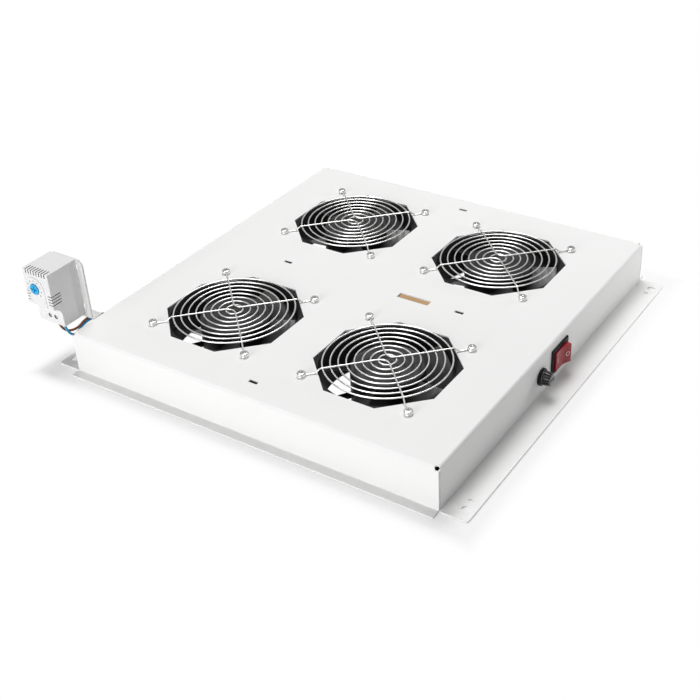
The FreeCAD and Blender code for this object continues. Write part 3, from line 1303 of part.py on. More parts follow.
def cable_tie():
    """Cable tie over the rear bridge's strip and under the two leads."""
    top = TRAY_HEIGHT - BRIDGE_DROP
    low = LEAD_AT_TIE - LEAD_STACK / 2 - LEAD_DIAMETER / 2 - TIE_SLACK
    half = (BRIDGE_WIDTH - 2 * BRIDGE_SIDE_GAP) / 2 + TIE_SLACK
    y = BRIDGE_Y
    outer = box(-half - TIE_THICK, half + TIE_THICK, y - TIE_WIDTH / 2, y + TIE_WIDTH / 2,
                low - TIE_THICK, top + TIE_THICK)
    inner = box(-half, half, y - TIE_WIDTH, y + TIE_WIDTH, low, top)
    head = box(half + TIE_THICK, half + TIE_THICK + TIE_HEAD, y - TIE_HEAD / 2, y + TIE_HEAD / 2,
               low - TIE_THICK, low - TIE_THICK + TIE_HEAD)
    return joined([outer.cut(inner), head])


save("tray", tray())
for number, (fan_x, fan_y) in enumerate(FAN_PLACES, 1):
    save("fan_frame_%d" % number, fan_frame(fan_x, fan_y))
    save("fan_rotor_%d" % number, rotor(fan_x, fan_y, ROTOR_ANGLES[number - 1]))
    save("rotor_shaft_%d" % number, rotor_shaft(fan_x, fan_y))
    save("rotor_ring_%d" % number, rotor_ring(fan_x, fan_y))
    save("finger_guard_%d" % number, finger_guard(fan_x, fan_y))
save("fan_bearings", Part.makeCompound([bearing(x, y, z) for x, y in FAN_PLACES for z in bearing_places()]))
save("stator_cores", Part.makeCompound([stator_core(x, y) for x, y in FAN_PLACES]))
save("stator_coils", Part.makeCompound([coil for x, y in FAN_PLACES for coil in stator_coils(x, y)]))

screw_places = [place for x, y in FAN_PLACES for place in fan_holes(x, y)]
save("guard_screws", Part.makeCompound([guard_screw(x, y) for x, y in screw_places]))
nut_top = FAN_TOP - FAN_FLANGE
save("guard_nuts", Part.makeCompound([
    nut(GUARD_NUT_ACROSS, GUARD_NUT, SCREW_DIAMETER / 2, (x, y, nut_top), (0, 0, -1))
    for x, y in screw_places]))

save("switch_housing", switch_housing())
save("switch_rocker", rocker())
save("switch_terminals", Part.makeCompound(switch_terminals()))

save("fuse_holder", fuse_body())
save("fuse_holder_nut", nut(FUSE_NUT_ACROSS, FUSE_NUT, FUSE_BARREL_DIAMETER / 2,
                            (FUSE_X, FRONT_Y + SHEET, FUSE_Z), (0, 1, 0)))
save("fuse_cap", fuse_cap())
save("fuse_glass", fuse_glass())
save("fuse_end_caps", Part.makeCompound(fuse_end_caps()))
save("fuse_tags", Part.makeCompound(fuse_tags()))

save("thermostat_bracket", bracket())
save("bracket_screws", Part.makeCompound(bracket_screws()))
save("bracket_nuts", Part.makeCompound([
    nut(GUARD_NUT_ACROSS, GUARD_NUT, SCREW_DIAMETER / 2, (x, REAR_Y - SHEET, z), (0, -1, 0))
    for x, z in bracket_screw_places()]))
save("thermostat_cover", thermostat_cover())
save("thermostat_base", thermostat_base())
save("thermostat_dial", thermostat_dial())
save("thermostat_clamps", Part.makeCompound(clamp_blocks()))
save("thermostat_screws", Part.makeCompound(clamp_screws()))

save("lead_brown", lead(0))
save("lead_blue", lead(1))
save("lead_grommet", grommet())
save("mains_bush", mains_bush())

save("terminal_board", terminal_board())
save("board_studs", Part.makeCompound(weld_studs()))
save("board_nuts", Part.makeCompound(stud_nuts()))
save("terminal_strip", terminal_strip())
save("strip_tubes", Part.makeCompound(strip_clamps()))
save("strip_screws", Part.makeCompound(strip_screws()))
save("earth_stud", earth_stud())
save("earth_nuts", Part.makeCompound(earth_hardware()))
save("cable_tie", cable_tie())
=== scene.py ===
"""Rack fan tray: looks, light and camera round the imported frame, laid out as an add-on."""

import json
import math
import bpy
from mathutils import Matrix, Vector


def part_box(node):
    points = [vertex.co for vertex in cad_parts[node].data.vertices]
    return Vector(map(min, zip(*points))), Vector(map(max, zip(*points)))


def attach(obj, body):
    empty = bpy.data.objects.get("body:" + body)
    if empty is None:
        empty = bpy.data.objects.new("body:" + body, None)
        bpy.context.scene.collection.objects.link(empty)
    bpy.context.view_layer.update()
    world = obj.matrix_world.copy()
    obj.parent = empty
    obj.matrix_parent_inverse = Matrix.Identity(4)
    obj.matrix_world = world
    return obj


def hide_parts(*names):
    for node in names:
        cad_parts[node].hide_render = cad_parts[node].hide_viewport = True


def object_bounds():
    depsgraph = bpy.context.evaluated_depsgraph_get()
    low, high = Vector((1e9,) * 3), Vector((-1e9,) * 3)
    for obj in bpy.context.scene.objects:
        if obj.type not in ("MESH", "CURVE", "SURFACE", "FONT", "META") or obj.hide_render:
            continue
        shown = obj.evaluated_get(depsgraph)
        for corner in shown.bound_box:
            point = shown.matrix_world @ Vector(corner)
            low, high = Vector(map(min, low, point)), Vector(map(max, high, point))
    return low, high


bl_info = {
    "name": "Rack fan tray",
    "version": (1, 0, 0),
    "blender": (4, 5, 0),
    "location": "3D view, sidebar, Fan tray",
    "description": "Dresses the packed fan tray with wire guards, screws, leads, finishes and light",
    "category": "Object",
}

import bpy
from bpy.props import FloatProperty, FloatVectorProperty, IntProperty, PointerProperty
from mathutils import Matrix, Vector

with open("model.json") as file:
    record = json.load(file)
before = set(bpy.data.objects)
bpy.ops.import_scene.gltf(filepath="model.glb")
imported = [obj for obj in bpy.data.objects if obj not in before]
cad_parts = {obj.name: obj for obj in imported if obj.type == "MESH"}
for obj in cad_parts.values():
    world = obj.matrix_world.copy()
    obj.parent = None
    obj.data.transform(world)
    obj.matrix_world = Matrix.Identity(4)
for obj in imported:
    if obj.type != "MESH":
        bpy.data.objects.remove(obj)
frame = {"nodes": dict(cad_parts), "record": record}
CAD_BOX = [list(corner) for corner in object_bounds()]
MM = 0.001
FANS = (1, 2, 3, 4)

# Places that the frame gives
PANEL_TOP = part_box("tray")[1][2]
FAN_CENTRES = {
    n: [(low + high) / 2 for low, high in zip(*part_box("fan_frame_%d" % n))][:2] for n in FANS
}

# A fan's screw holes from its axis: along each side, and straight out to an eyelet's middle
HOLE_REACH = 52.4 * MM
EYELET_REACH = HOLE_REACH * math.sqrt(2)

# Middles of the tie bridges in the panel, and where painted shade fills the pocket under one
TIE_BRIDGES = ((-0.179, 0.0), (0.179, 0.0), (0.0, -0.0955), (0.0, 0.0955))
SHADE_POCKET_ACROSS = (2.2 * MM, 2.8 * MM)
SHADE_POCKET_ALONG = (4.8 * MM, 5.6 * MM)
SHADE_POCKET_DOWN = (0.4 * MM, 1.4 * MM)

# The thermostat's outline below its dial, and the depths at which painted shade darkens its grooves
SHELL_PANEL_PROUD = 0.6 * MM
SHELL_SETBACK = 8.4 * MM
SHELL_FOOT = 11.4 * MM
SHELL_ARC = 10.393 * MM
SHELL_GROOVE_SHADE = (0.15 * MM, 0.45 * MM)

# Length of one wave of a Wave texture at a scale of 1, in metres
WAVE = 0.314

# Points closer than this are taken as one height or one place
NEAR = 0.01 * MM


# Sizes and colours that a user would change

def length(name, description, value):
    """A length property."""
    return FloatProperty(name=name, description=description, default=value, min=0.0,
                         subtype="DISTANCE", unit="LENGTH", precision=5)


def colour(name, description, value):
    """A colour property."""
    return FloatVectorProperty(name=name, description=description, default=value, size=3,
                               min=0.0, max=1.0, subtype="COLOR")


class GuardSizes(bpy.types.PropertyGroup):
    """Sizes of a finger guard."""

    wire: length("Wire", "Diameter of the guard's wire", 1.5 * MM)
    eyelet: length("Eyelet", "Radius of an eyelet along the wire's middle", 3.15 * MM)
    rings: IntProperty(name="Rings", description="Concentric rings in a guard", default=8, min=1, max=12)
    first: length("First ring", "Radius of the smallest ring", 7.7 * MM)
    step: length("Step", "Distance from one ring to the next", 6.83 * MM)
    lift: length("Lift", "Height of the legs over the eyelets", 3.9 * MM)
    jog_start: length("Jog start", "Distance from the axis where the legs begin to drop", 57.6 * MM)
    jog_end: length("Jog end", "Distance from the axis where the legs lie on the panel", 62.8 * MM)
    apex: length("Apex", "Distance from the axis where a leg wire turns back", 5.0 * MM)


class ScrewSizes(bpy.types.PropertyGroup):
    """Sizes of the pan-head screws."""

    head: length("Head", "Diameter of the head", 7.8 * MM)
    height: length("Head height", "Height of the head", 2.6 * MM)
    shank: length("Shank", "Diameter of the shank", 4.0 * MM)
    recess: length("Recess", "Length of each arm of the cross recess", 4.2 * MM)
    recess_width: length("Recess width", "Width of the recess", 0.9 * MM)


class LeadSizes(bpy.types.PropertyGroup):
    """Sizes of the thermostat's leads."""

    diameter: length("Diameter", "Diameter over the insulation", 2.3 * MM)
    stack: length("Stack", "Height of one lead over the other", 2.8 * MM)


class RockerSizes(bpy.types.PropertyGroup):
    """Sizes of the switch's rocker and its marks."""

    span: length("Length", "Length of the rocker", 24.0 * MM)
    tall: length("Height", "Height of the rocker", 18.4 * MM)
    proud: length("Proud", "How far its waist stands out of its seat", 0.7 * MM)
    deep: length("Depth", "How far its middle reaches into the switch", 4.4 * MM)
    skirt: length("Skirt", "How much shallower it is at its ends", 3.0 * MM)
    lift: length("End lift", "How far each end stands above an even slope", 1.0 * MM)
    draft: length("Draft", "How far its ends lean in at the face", 0.6 * MM)
    waist: length("Waist", "Size of the round between its two slopes", 5.5 * MM)
    edge: length("Edge", "Rounding of its edges", 0.7 * MM)
    pivot: length("Pivot depth", "Distance from its seat to the pivot's axis", 3.5 * MM)
    pin: length("Pin", "Diameter of the pivot pin", 2.6 * MM)
    pin_length: length("Pin length", "Length of the pivot pin", 20.9 * MM)
    mark_reach: length("Mark place", "Distance from the waist to each mark", 7.4 * MM)
    mark_height: length("Bar", "Height of the bar", 4.4 * MM)
    mark_width: length("Bar width", "Width of the bar", 0.7 * MM)
    ring: length("Ring", "Radius of the ring", 1.9 * MM)
    ring_line: length("Ring line", "Half the width of the ring's line", 0.34 * MM)


class CapSizes(bpy.types.PropertyGroup):
    """Sizes of the fuse cap."""

    base: length("Base", "Diameter over the ribs at the flange", 13.4 * MM)
    tip: length("Tip", "Diameter over the ribs at the tip", 11.2 * MM)
    reach: length("Length", "Length of the grip", 8.2 * MM)
    rib_depth: length("Rib depth", "How far a rib stands out", 0.9 * MM)
    rib_width: length("Rib width", "Width of a rib", 1.25 * MM)
    ribs: IntProperty(name="Ribs", description="Ribs round the grip", default=14, min=6, max=36)
    slot: length("Slot", "Width of the screwdriver slot", 1.4 * MM)
    slot_depth: length("Slot depth", "Depth of the screwdriver slot", 1.6 * MM)
    collar: length("Collar", "Thickness of the collar at the flange", 1.3 * MM)
    stem: length("Stem", "Diameter of the stem in the holder", 8.4 * MM)


class ScaleSizes(bpy.types.PropertyGroup):
    """Sizes of the numbers round the thermostat's dial."""

    numbers: IntProperty(name="Numbers", description="Numbers on the scale", default=9, min=2, max=12)
    letter: length("Letter", "Size of a number", 1.7 * MM)
    radius: length("Radius", "Distance from the dial's axis to a number's middle", 8.3 * MM)
    relief: length("Relief", "Half the thickness of the print", 0.03 * MM)


class Colours(bpy.types.PropertyGroup):
    """Colours of the finishes."""

    paint: colour("Paint", "Powder coat on the tray", (0.88, 0.88, 0.875))
    # Painted shade: the bracket's coat is a darker copy of the tray's grey, for the shade it sits in
    bracket: colour("Bracket", "Powder coat on the thermostat's bracket", (0.72, 0.72, 0.715))
    fan: colour("Fans", "Paint on the fan frames", (0.011, 0.011, 0.012))
    rotor: colour("Rotors", "Moulded rotors", (0.014, 0.014, 0.015))
    rocker: colour("Rocker", "Red rocker", (0.33, 0.012, 0.022))
    thermostat: colour("Thermostat", "Thermostat housing", (0.79, 0.79, 0.79))
    dial: colour("Dial", "Setting dial", (0.01, 0.39, 0.72))
    brown: colour("Brown lead", "Insulation of the brown lead", (0.22, 0.07, 0.042))
    blue: colour("Blue lead", "Insulation of the blue lead", (0.01, 0.33, 0.60))


# Shader maths

class Value:
    """A socket of a material, on which ordinary arithmetic adds its nodes."""

    def __init__(self, paint, socket):
        self.paint = paint
        self.socket = socket

    def _maths(self, operation, first, second):
        return self.paint.value("ShaderNodeMath", 0, {"operation": operation}, {0: first, 1: second})

    def __add__(self, other):
        return self._maths("ADD", self, other)

    def __radd__(self, other):
        return self._maths("ADD", other, self)

    def __sub__(self, other):
        return self._maths("SUBTRACT", self, other)

    def __rsub__(self, other):
        return self._maths("SUBTRACT", other, self)

    def __mul__(self, other):
        return self._maths("MULTIPLY", self, other)

    def __rmul__(self, other):
        return self._maths("MULTIPLY", other, self)

    def __pow__(self, other):
        return self._maths("POWER", self, other)

    def __rpow__(self, other):
        return self._maths("POWER", other, self)

    def __abs__(self):
        return self._maths("ABSOLUTE", self, 0.0)

    def over(self, other):
        """The larger of two values."""
        return self._maths("MAXIMUM", self, other)

    def under(self, other):
        """The smaller of two values."""
        return self._maths("MINIMUM", self, other)

    def ramp(self, start, end):
        """Rises softly from 0 to 1 between two values."""
        return self.paint.value("ShaderNodeMapRange", "Result", {"interpolation_type": "SMOOTHSTEP"},
                                {"Value": self, "From Min": start, "From Max": end})


class Paint:
    """Builds the nodes of one procedural material, or of the world."""

    def __init__(self, name, world=False):
        self.block = (bpy.data.worlds if world else bpy.data.materials).new(name)
        self.block.use_nodes = True
        self.tree = self.block.node_tree
        self.tree.nodes.clear()
        self.output = self.tree.nodes.new("ShaderNodeOutputWorld" if world else "ShaderNodeOutputMaterial")

    def node(self, kind, settings=None, inputs=None):
        """Any node: its settings are set first, then the values or links of its sockets."""
        made = self.tree.nodes.new(kind)
        for key, setting in (settings or {}).items():
            setattr(made, key, setting)
        for key, given in (inputs or {}).items():
            socket = made.inputs[key]
            if isinstance(given, Value):
                self.tree.links.new(given.socket, socket)
            else:
                socket.default_value = given
        return made

    def value(self, kind, output, settings=None, inputs=None):
        """One output of a new node."""
        return Value(self, self.node(kind, settings, inputs).outputs[output])

    def place(self, scale=(1.0, 1.0, 1.0)):
        """Object coordinates, stretched."""
        return self.value("ShaderNodeMapping", "Vector", {}, {
            "Vector": self.value("ShaderNodeTexCoord", "Object"), "Scale": scale})

    def coordinates(self):
        """The three object coordinates, one by one."""
        split = self.node("ShaderNodeSeparateXYZ", {}, {"Vector": self.place()})
        return [Value(self, split.outputs[axis]) for axis in "XYZ"]

    def noise(self, size, detail=2.0, roughness=0.5, stretch=(1.0, 1.0, 1.0)):
        """Cloudy noise whose patches are about that size, in metres."""
        return self.value("ShaderNodeTexNoise", "Fac", {}, {
            "Vector": self.place(stretch), "Scale": 1.0 / size, "Detail": detail, "Roughness": roughness})

    def bands(self, size, direction):
        """Straight bands that far apart along a direction."""
        return self.value("ShaderNodeTexWave", "Fac", {"bands_direction": direction}, {
            "Vector": self.place(), "Scale": WAVE / size})

    def blend(self, share, first, second):
        """A colour between two colours."""
        return self.value("ShaderNodeMix", 2, {"data_type": "RGBA"}, {0: share, 6: first, 7: second})

    def bump(self, height, depth, strength=1.0):
        """Surface relief of that depth, in metres."""
        return self.value("ShaderNodeBump", "Normal", {}, {
            "Height": height, "Distance": depth, "Strength": strength})

    def mix(self, share, first, second):
        """The first shader where share is 0 and the second where it is 1."""
        return self.value("ShaderNodeMixShader", 0, {}, {0: share, 1: first, 2: second})

    def finish(self, shader):
        """Leads a shader to the output."""
        self.tree.links.new(shader.socket, self.output.inputs[0])
        return self.block

    def surface(self, **sockets):
        """The usual shader, with socket names in lower case and underscores."""
        names = {key: key.replace("_", " ").title() for key in sockets}
        names.update({"ior": "IOR", "specular": "Specular IOR Level"})
        return self.finish(self.value("ShaderNodeBsdfPrincipled", 0, {}, {
            names[key]: given for key, given in sockets.items()}))


def rgba(shade, factor=1.0):
    """A colour with full alpha, made lighter or darker."""
    return tuple(min(1.0, part * factor) for part in shade[:3]) + (1.0,)


def powder_coat(name, shade, shade_pockets=()):
    """Satin powder coat: fine orange peel, faint clouding and scuffed patches, and painted shade deep under
    any tie bridges.
    """
    p = Paint(name)
    cloud = p.noise(size=0.11, detail=3.0)
    rub = p.noise(size=0.018, detail=5.0, roughness=0.65)
    peel = p.noise(size=0.0011, roughness=0.4)
    tone = p.blend(cloud * 0.6 + rub * 0.25, rgba(shade, 0.975), rgba(shade, 1.015))
    if shade_pockets:
        x, y, z = p.coordinates()
        near = None
        for px, py in shade_pockets:
            inside = 1.0 - abs(x - px).ramp(*SHADE_POCKET_ACROSS).over(abs(y - py).ramp(*SHADE_POCKET_ALONG))
            near = inside if near is None else near.over(inside)
        # Painted shade: deep under each tie bridge the coat is painted near black
        tone = p.blend(near * (PANEL_TOP - z).ramp(*SHADE_POCKET_DOWN), tone, rgba(shade, 0.05))
    return p.surface(base_color=tone, roughness=0.40 + rub * 0.10 + cloud * 0.05,
                     normal=p.bump(peel, depth=0.00003, strength=0.5))


def cast_black(name, shade):
    """Black paint on a casting: coarse grain that catches the light."""
    p = Paint(name)
    grain = p.noise(size=0.0009, detail=3.0, roughness=0.6)
    wear = p.noise(size=0.012, detail=4.0, roughness=0.6)
    tone = p.blend(wear, rgba(shade, 0.8), rgba(shade, 1.7))
    return p.surface(base_color=tone, roughness=0.42 + grain * 0.22, specular=0.12,
                     normal=p.bump(grain, depth=0.00006, strength=0.7))


def moulded(name, shade, rough, grain, spread, depth=0.00003, shine=0.5):
    """Moulded plastic with a fine sparked grain of that size and depth, in metres."""
    p = Paint(name)
    sparks = p.noise(size=grain)
    drift = p.noise(size=0.02, detail=3.0)
    tone = p.blend(drift, rgba(shade, 1.0 - spread), rgba(shade, 1.0 + spread))
    return p.surface(base_color=tone, roughness=rough - 0.05 + drift * 0.1, specular=shine,
                     normal=p.bump(sparks, depth, strength=0.6))


def grooved_shell(name, shade):
    """The thermostat's moulded front, with painted shade darkening its grooves, louvres and screw holes."""
    p = Paint(name)
    x, y, z = p.coordinates()
    low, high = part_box("thermostat_cover")
    front = low[0] + SHELL_PANEL_PROUD
    arc_x, arc_z = front + SHELL_SETBACK - SHELL_ARC, low[2] + SHELL_FOOT
    across, rise = x - arc_x, (z - arc_z).over(0.0)
    step = (across * across + rise * rise) ** 0.5 - SHELL_ARC
    inward = (x - front).under(step).under(y - low[1]).under(high[1] - y).under(high[2] - z)
    groove_shade = inward.ramp(*SHELL_GROOVE_SHADE)
    grain = p.noise(size=0.0006)
    drift = p.noise(size=0.02, detail=3.0)
    outer = p.blend(drift, rgba(shade, 0.97), rgba(shade, 1.03))
    # Painted shade: the colour turns dark down in the grooves, louvres and screw holes
    tone = p.blend(groove_shade, outer, rgba(shade, 0.16))
    return p.surface(base_color=tone, roughness=0.44 + drift * 0.08 + groove_shade * 0.2,
                     normal=p.bump(grain, depth=0.00002, strength=0.6))


def glossy(name, shade):
    """Polished plastic with faint fingermarks."""
    p = Paint(name)
    smear = p.noise(size=0.006, detail=4.0, roughness=0.6, stretch=(1.0, 1.0, 2.2))
    tone = p.blend(smear, rgba(shade, 0.9), rgba(shade, 1.1))
    return p.surface(base_color=tone, roughness=0.16 + smear * 0.14, specular=0.3)


def ribbed_black(name, shade, cap):
    """Glossy black grip with painted highlights that make its rib crests and tip paler."""
    p = Paint(name)
    x, y, z = p.coordinates()
    low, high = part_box("fuse_cap")
    aside, rise = x - (low[0] + high[0]) / 2, z - (low[2] + high[2]) / 2
    inward = y - low[1]
    ribs = cap.tip / 2 + inward * ((cap.base - cap.tip) / 2 / cap.reach)
    # Painted highlights: the rib crests and the tip turn paler grey
    crest_highlight = ((aside * aside + rise * rise) ** 0.5 - ribs).ramp(-0.4 * MM, -0.1 * MM)
    tip = 1.0 - inward.ramp(0.2 * MM, 1.2 * MM)
    smear = p.noise(size=0.003, detail=4.0, roughness=0.6)
    painted_highlight = (crest_highlight * 0.22).over(tip) * (0.5 + smear * 0.8)
    tone = p.blend(painted_highlight, rgba(shade), rgba((0.24, 0.24, 0.24)))
    return p.surface(base_color=tone, roughness=0.12 + smear * 0.12, specular=0.45)


def plated(name, shade, rough):
    """Bright plating with slight clouding and draw marks."""
    p = Paint(name)
    cloud = p.noise(size=0.004, detail=4.0, roughness=0.6)
    draw = p.noise(size=0.0006)
    tone = p.blend(cloud, rgba(shade, 0.86), rgba(shade, 1.08))
    return p.surface(base_color=tone, metallic=1.0, roughness=rough + cloud * 0.16,
                     normal=p.bump(draw, depth=0.00001, strength=0.4))


def windings(name, shade):
    """Enamelled wire laid side by side."""
    p = Paint(name)
    turns = p.bands(size=0.0006, direction="Z")
    tone = p.blend(turns, rgba(shade, 0.45), rgba(shade, 1.1))
    return p.surface(base_color=tone, metallic=0.75, roughness=0.34, normal=p.bump(turns, depth=0.0002))


def laminations(name, shade):
    """Stacked sheets with a dark line between each two."""
    p = Paint(name)
    sheets = p.bands(size=0.001, direction="Z")
    tone = p.blend(sheets, rgba(shade, 0.5), rgba(shade, 1.2))
    return p.surface(base_color=tone, metallic=0.8, roughness=0.5,
                     normal=p.bump(sheets, depth=0.00015, strength=0.8))


def paper_board(name, shade):
    """Resin-bonded paper: long fibres and a slight shine."""
    p = Paint(name)
    fibre = p.noise(size=0.0016, detail=5.0, roughness=0.7, stretch=(1.0, 0.12, 1.0))
    tone = p.blend(fibre, rgba(shade, 0.72), rgba(shade, 1.22))
    return p.surface(base_color=tone, roughness=0.38 + fibre * 0.15,
                     normal=p.bump(fibre, depth=0.00004, strength=0.5))


def insulation(name, shade):
    """Soft lead insulation, slightly mottled."""
    p = Paint(name)
    mottle = p.noise(size=0.0012, detail=3.0, roughness=0.6)
    tone = p.blend(mottle, rgba(shade, 0.85), rgba(shade, 1.15))
    return p.surface(base_color=tone, roughness=0.30 + mottle * 0.12)


def clear_glass(name):
    """Thin clear glass."""
    p = Paint(name)
    haze = p.noise(size=0.004, detail=3.0)
    return p.surface(base_color=rgba((0.93, 0.95, 0.95)), roughness=0.02 + haze * 0.04,
                     transmission_weight=1.0, ior=1.5)


FINISHES = {}


def make_finishes(shades, cap):
    """Every finish, by the name of the record's material slot."""
    FINISHES.update({
        "tray_paint": powder_coat("tray powder coat", shades.paint, TIE_BRIDGES),
        # The bracket's darker coat is painted shade
        "bracket_zinc": powder_coat("bracket powder coat", shades.bracket),
        "fan_frame_black": cast_black("fan frame black", shades.fan),
        "rotor_black": moulded("rotor plastic", shades.rotor, rough=0.34, grain=0.0009, depth=0.00005,
                               spread=0.3),
        "guard_wire": plated("guard nickel", (0.90, 0.895, 0.885), rough=0.22),
        "screw_steel": plated("screw zinc", (0.80, 0.80, 0.795), rough=0.15),
        "steel": plated("plain steel", (0.58, 0.57, 0.56), rough=0.28),
        "lamination": laminations("lamination stack", (0.25, 0.25, 0.26)),
        "copper": windings("copper windings", (0.72, 0.30, 0.13)),
        "bronze": plated("sintered bronze", (0.55, 0.38, 0.20), rough=0.42),
        "brass": plated("brass", (0.78, 0.60, 0.30), rough=0.24),
        "black_plastic": moulded("black plastic", (0.010, 0.010, 0.011), rough=0.36, grain=0.0006,
                                 spread=0.2, shine=0.25),
        "cap_black": ribbed_black("cap black", (0.006, 0.006, 0.006), cap),
        "red_plastic": glossy("rocker red", shades.rocker),
        "glass": clear_glass("fuse glass"),
        "thermostat_grey": moulded("thermostat plastic", shades.thermostat, rough=0.46, grain=0.0006,
                                   depth=0.00002, spread=0.03),
        "thermostat_shell": grooved_shell("thermostat shell", shades.thermostat),
        "dial_blue": moulded("dial plastic", shades.dial, rough=0.34, grain=0.0006, depth=0.00002,
                             spread=0.08),
        "brown_wire": insulation("brown insulation", shades.brown),
        "blue_wire": insulation("blue insulation", shades.blue),
        "rubber": moulded("grommet rubber", (0.03, 0.03, 0.03), rough=0.6, grain=0.0005, spread=0.3),
        "board": paper_board("terminal board", (0.50, 0.30, 0.13)),
        "strip": moulded("ivory plastic", (0.80, 0.78, 0.70), rough=0.42, grain=0.0006,
                         depth=0.00002, spread=0.05),
    })


# Modelling helpers

def only(*pieces):
    """Selects these objects and nothing else; the first is the active one."""
    active = bpy.context.view_layer.objects.active
    if active is not None and active.mode != "OBJECT":
        bpy.ops.object.mode_set(mode="OBJECT")
    bpy.ops.object.select_all(action="DESELECT")
    for piece in pieces:
        piece.select_set(True)
    bpy.context.view_layer.objects.active = pieces[0] if pieces else None


def added(operator, **words):
    """The object that a primitive operator adds."""
    only()
    operator(**words)
    return bpy.context.view_layer.objects.active


def pick(piece, kind, test):
    """Goes into edit mode with only the faces, edges or vertices that pass the test selected."""
    only(piece)
    mesh = piece.data
    for group in (mesh.vertices, mesh.edges, mesh.polygons):
        group.foreach_set("select", [False] * len(group))
    group = {"FACE": mesh.polygons, "EDGE": mesh.edges, "VERT": mesh.vertices}[kind]
    for item in group:
        item.select = bool(test(item))
    bpy.ops.object.mode_set(mode="EDIT")
    bpy.ops.mesh.select_mode(type=kind)


def leave():
    """Back to object mode."""
    bpy.ops.object.mode_set(mode="OBJECT")


def ends(mesh, edge):
    """The two end points of an edge."""
    return [mesh.vertices[index].co for index in edge.vertices]


def settle(piece):
    """Puts a piece's place, turn and size into its mesh."""
    only(piece)
    bpy.ops.object.transform_apply(location=True, rotation=True, scale=True)


def twin(piece, turn=0.0, shift=(0.0, 0.0, 0.0)):
    """A copy with its own mesh, turned about +Z and then shifted."""
    copy = piece.copy()
    copy.data = piece.data.copy()
    bpy.context.collection.objects.link(copy)
    copy.data.transform(Matrix.Translation(shift) @ Matrix.Rotation(turn, 4, "Z"))
    return copy


def merge(pieces):
    """Several objects joined into the first."""
    only(*pieces)
    if len(pieces) > 1:
        bpy.ops.object.join()
    return pieces[0]


def carve(piece, cutter):
    """Cuts one mesh out of another."""
    only(piece)
    modifier = piece.modifiers.new("carve", "BOOLEAN")
    modifier.operation = "DIFFERENCE"
    modifier.object = cutter
    modifier.solver = "EXACT"
    bpy.ops.object.modifier_apply(modifier=modifier.name)
    bpy.data.objects.remove(cutter)


def smooth(piece, degrees):
    """Smooth shading below an angle."""
    only(piece)
    bpy.ops.object.shade_smooth_by_angle(angle=math.radians(degrees))


def dress(piece, name, body, slot, *nodes):
    """Names a finished piece, gives it its finish and tells the frame what it rides on and replaces.
    """
    piece.name = name
    piece.data.name = name
    piece.data.materials.clear()
    piece.data.materials.append(FINISHES[slot])
    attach(piece, body)
    if nodes:
        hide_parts(*nodes)


def block(centre, size):
    """A block by its centre and size."""
    piece = added(bpy.ops.mesh.primitive_cube_add, size=1.0, location=centre)
    piece.scale = size
    settle(piece)
    return piece


def bevel_edges(piece, width, segments, test):
    """Rounds the edges that pass the test, which is given their two end points."""
    mesh = piece.data
    pick(piece, "EDGE", lambda edge: test(*ends(mesh, edge)))
    bpy.ops.mesh.bevel(offset=width, offset_type="OFFSET", segments=segments, profile=0.5, affect="EDGES")
    leave()


def wire(points, thickness, name, sides=3, steps=6):
    """A round wire along a smooth spline with these control points, as a curve."""
    piece = added(bpy.ops.curve.primitive_nurbs_path_add)
    line = piece.data
    line.splines.clear()
    spline = line.splines.new("NURBS")
    spline.points.add(len(points) - 1)
    for spot, point in zip(points, spline.points):
        point.co = (*spot, 1.0)
    spline.order_u = 3
    spline.use_endpoint_u = True
    line.dimensions = "3D"
    line.resolution_u = steps
    line.bevel_depth = thickness / 2
    line.bevel_resolution = sides
    line.use_fill_caps = True
    piece.name = name
    return piece


# Pieces

class DressFrame(bpy.types.Operator):
    """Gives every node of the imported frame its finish"""

    bl_idname = "fantray.dress_frame"
    bl_label = "Dress the frame"

    def execute(self, context):
        make_finishes(context.scene.fan_tray_colours, context.scene.fan_tray_cap)
        for entry in frame["record"]["subparts"]:
            node = frame["nodes"][entry["node"]]
            node.data.materials.clear()
            finish = "thermostat_shell" if entry["node"] == "thermostat_cover" else entry["material_slot"]
            node.data.materials.append(FINISHES[finish])
        return {"FINISHED"}


# Control points round the eyelet of a guard's leg wire
LOOP_CORNERS = 8

# From the eyelet's middle, the ends of the drop to the panel and the first ring to the next control points
ARM_NECK = 4.6 * MM
ARM_RUN_IN = 1.4 * MM
ARM_BEND = 0.6 * MM
ARM_RUN_OUT = 2.0 * MM
ARM_TAIL = 6.0 * MM


def arm_points(sizes, turn, side):
    """Control points of one arm of a guard's leg wire, from its eyelet to the apex."""
    low = PANEL_TOP + sizes.wire / 2
    high = low + sizes.lift
    half = math.pi / LOOP_CORNERS
    reach = sizes.eyelet / math.cos(half)
    points = []
    for step in range(LOOP_CORNERS):
        angle = math.pi - half - 2 * half * step
        points.append((EYELET_REACH + reach * math.cos(angle), side * reach * math.sin(angle), low))
    on_panel = (EYELET_REACH - ARM_NECK, sizes.jog_end + ARM_RUN_IN, sizes.jog_end - ARM_BEND)
    raised = (sizes.jog_start + ARM_BEND, sizes.jog_start - ARM_RUN_OUT, sizes.first + ARM_TAIL, sizes.apex)
    points += [(x, 0.0, low) for x in on_panel] + [(x, 0.0, high) for x in raised]
    spin = Matrix.Rotation(turn, 3, "Z")
    return [tuple(spin @ Vector(point)) for point in points]


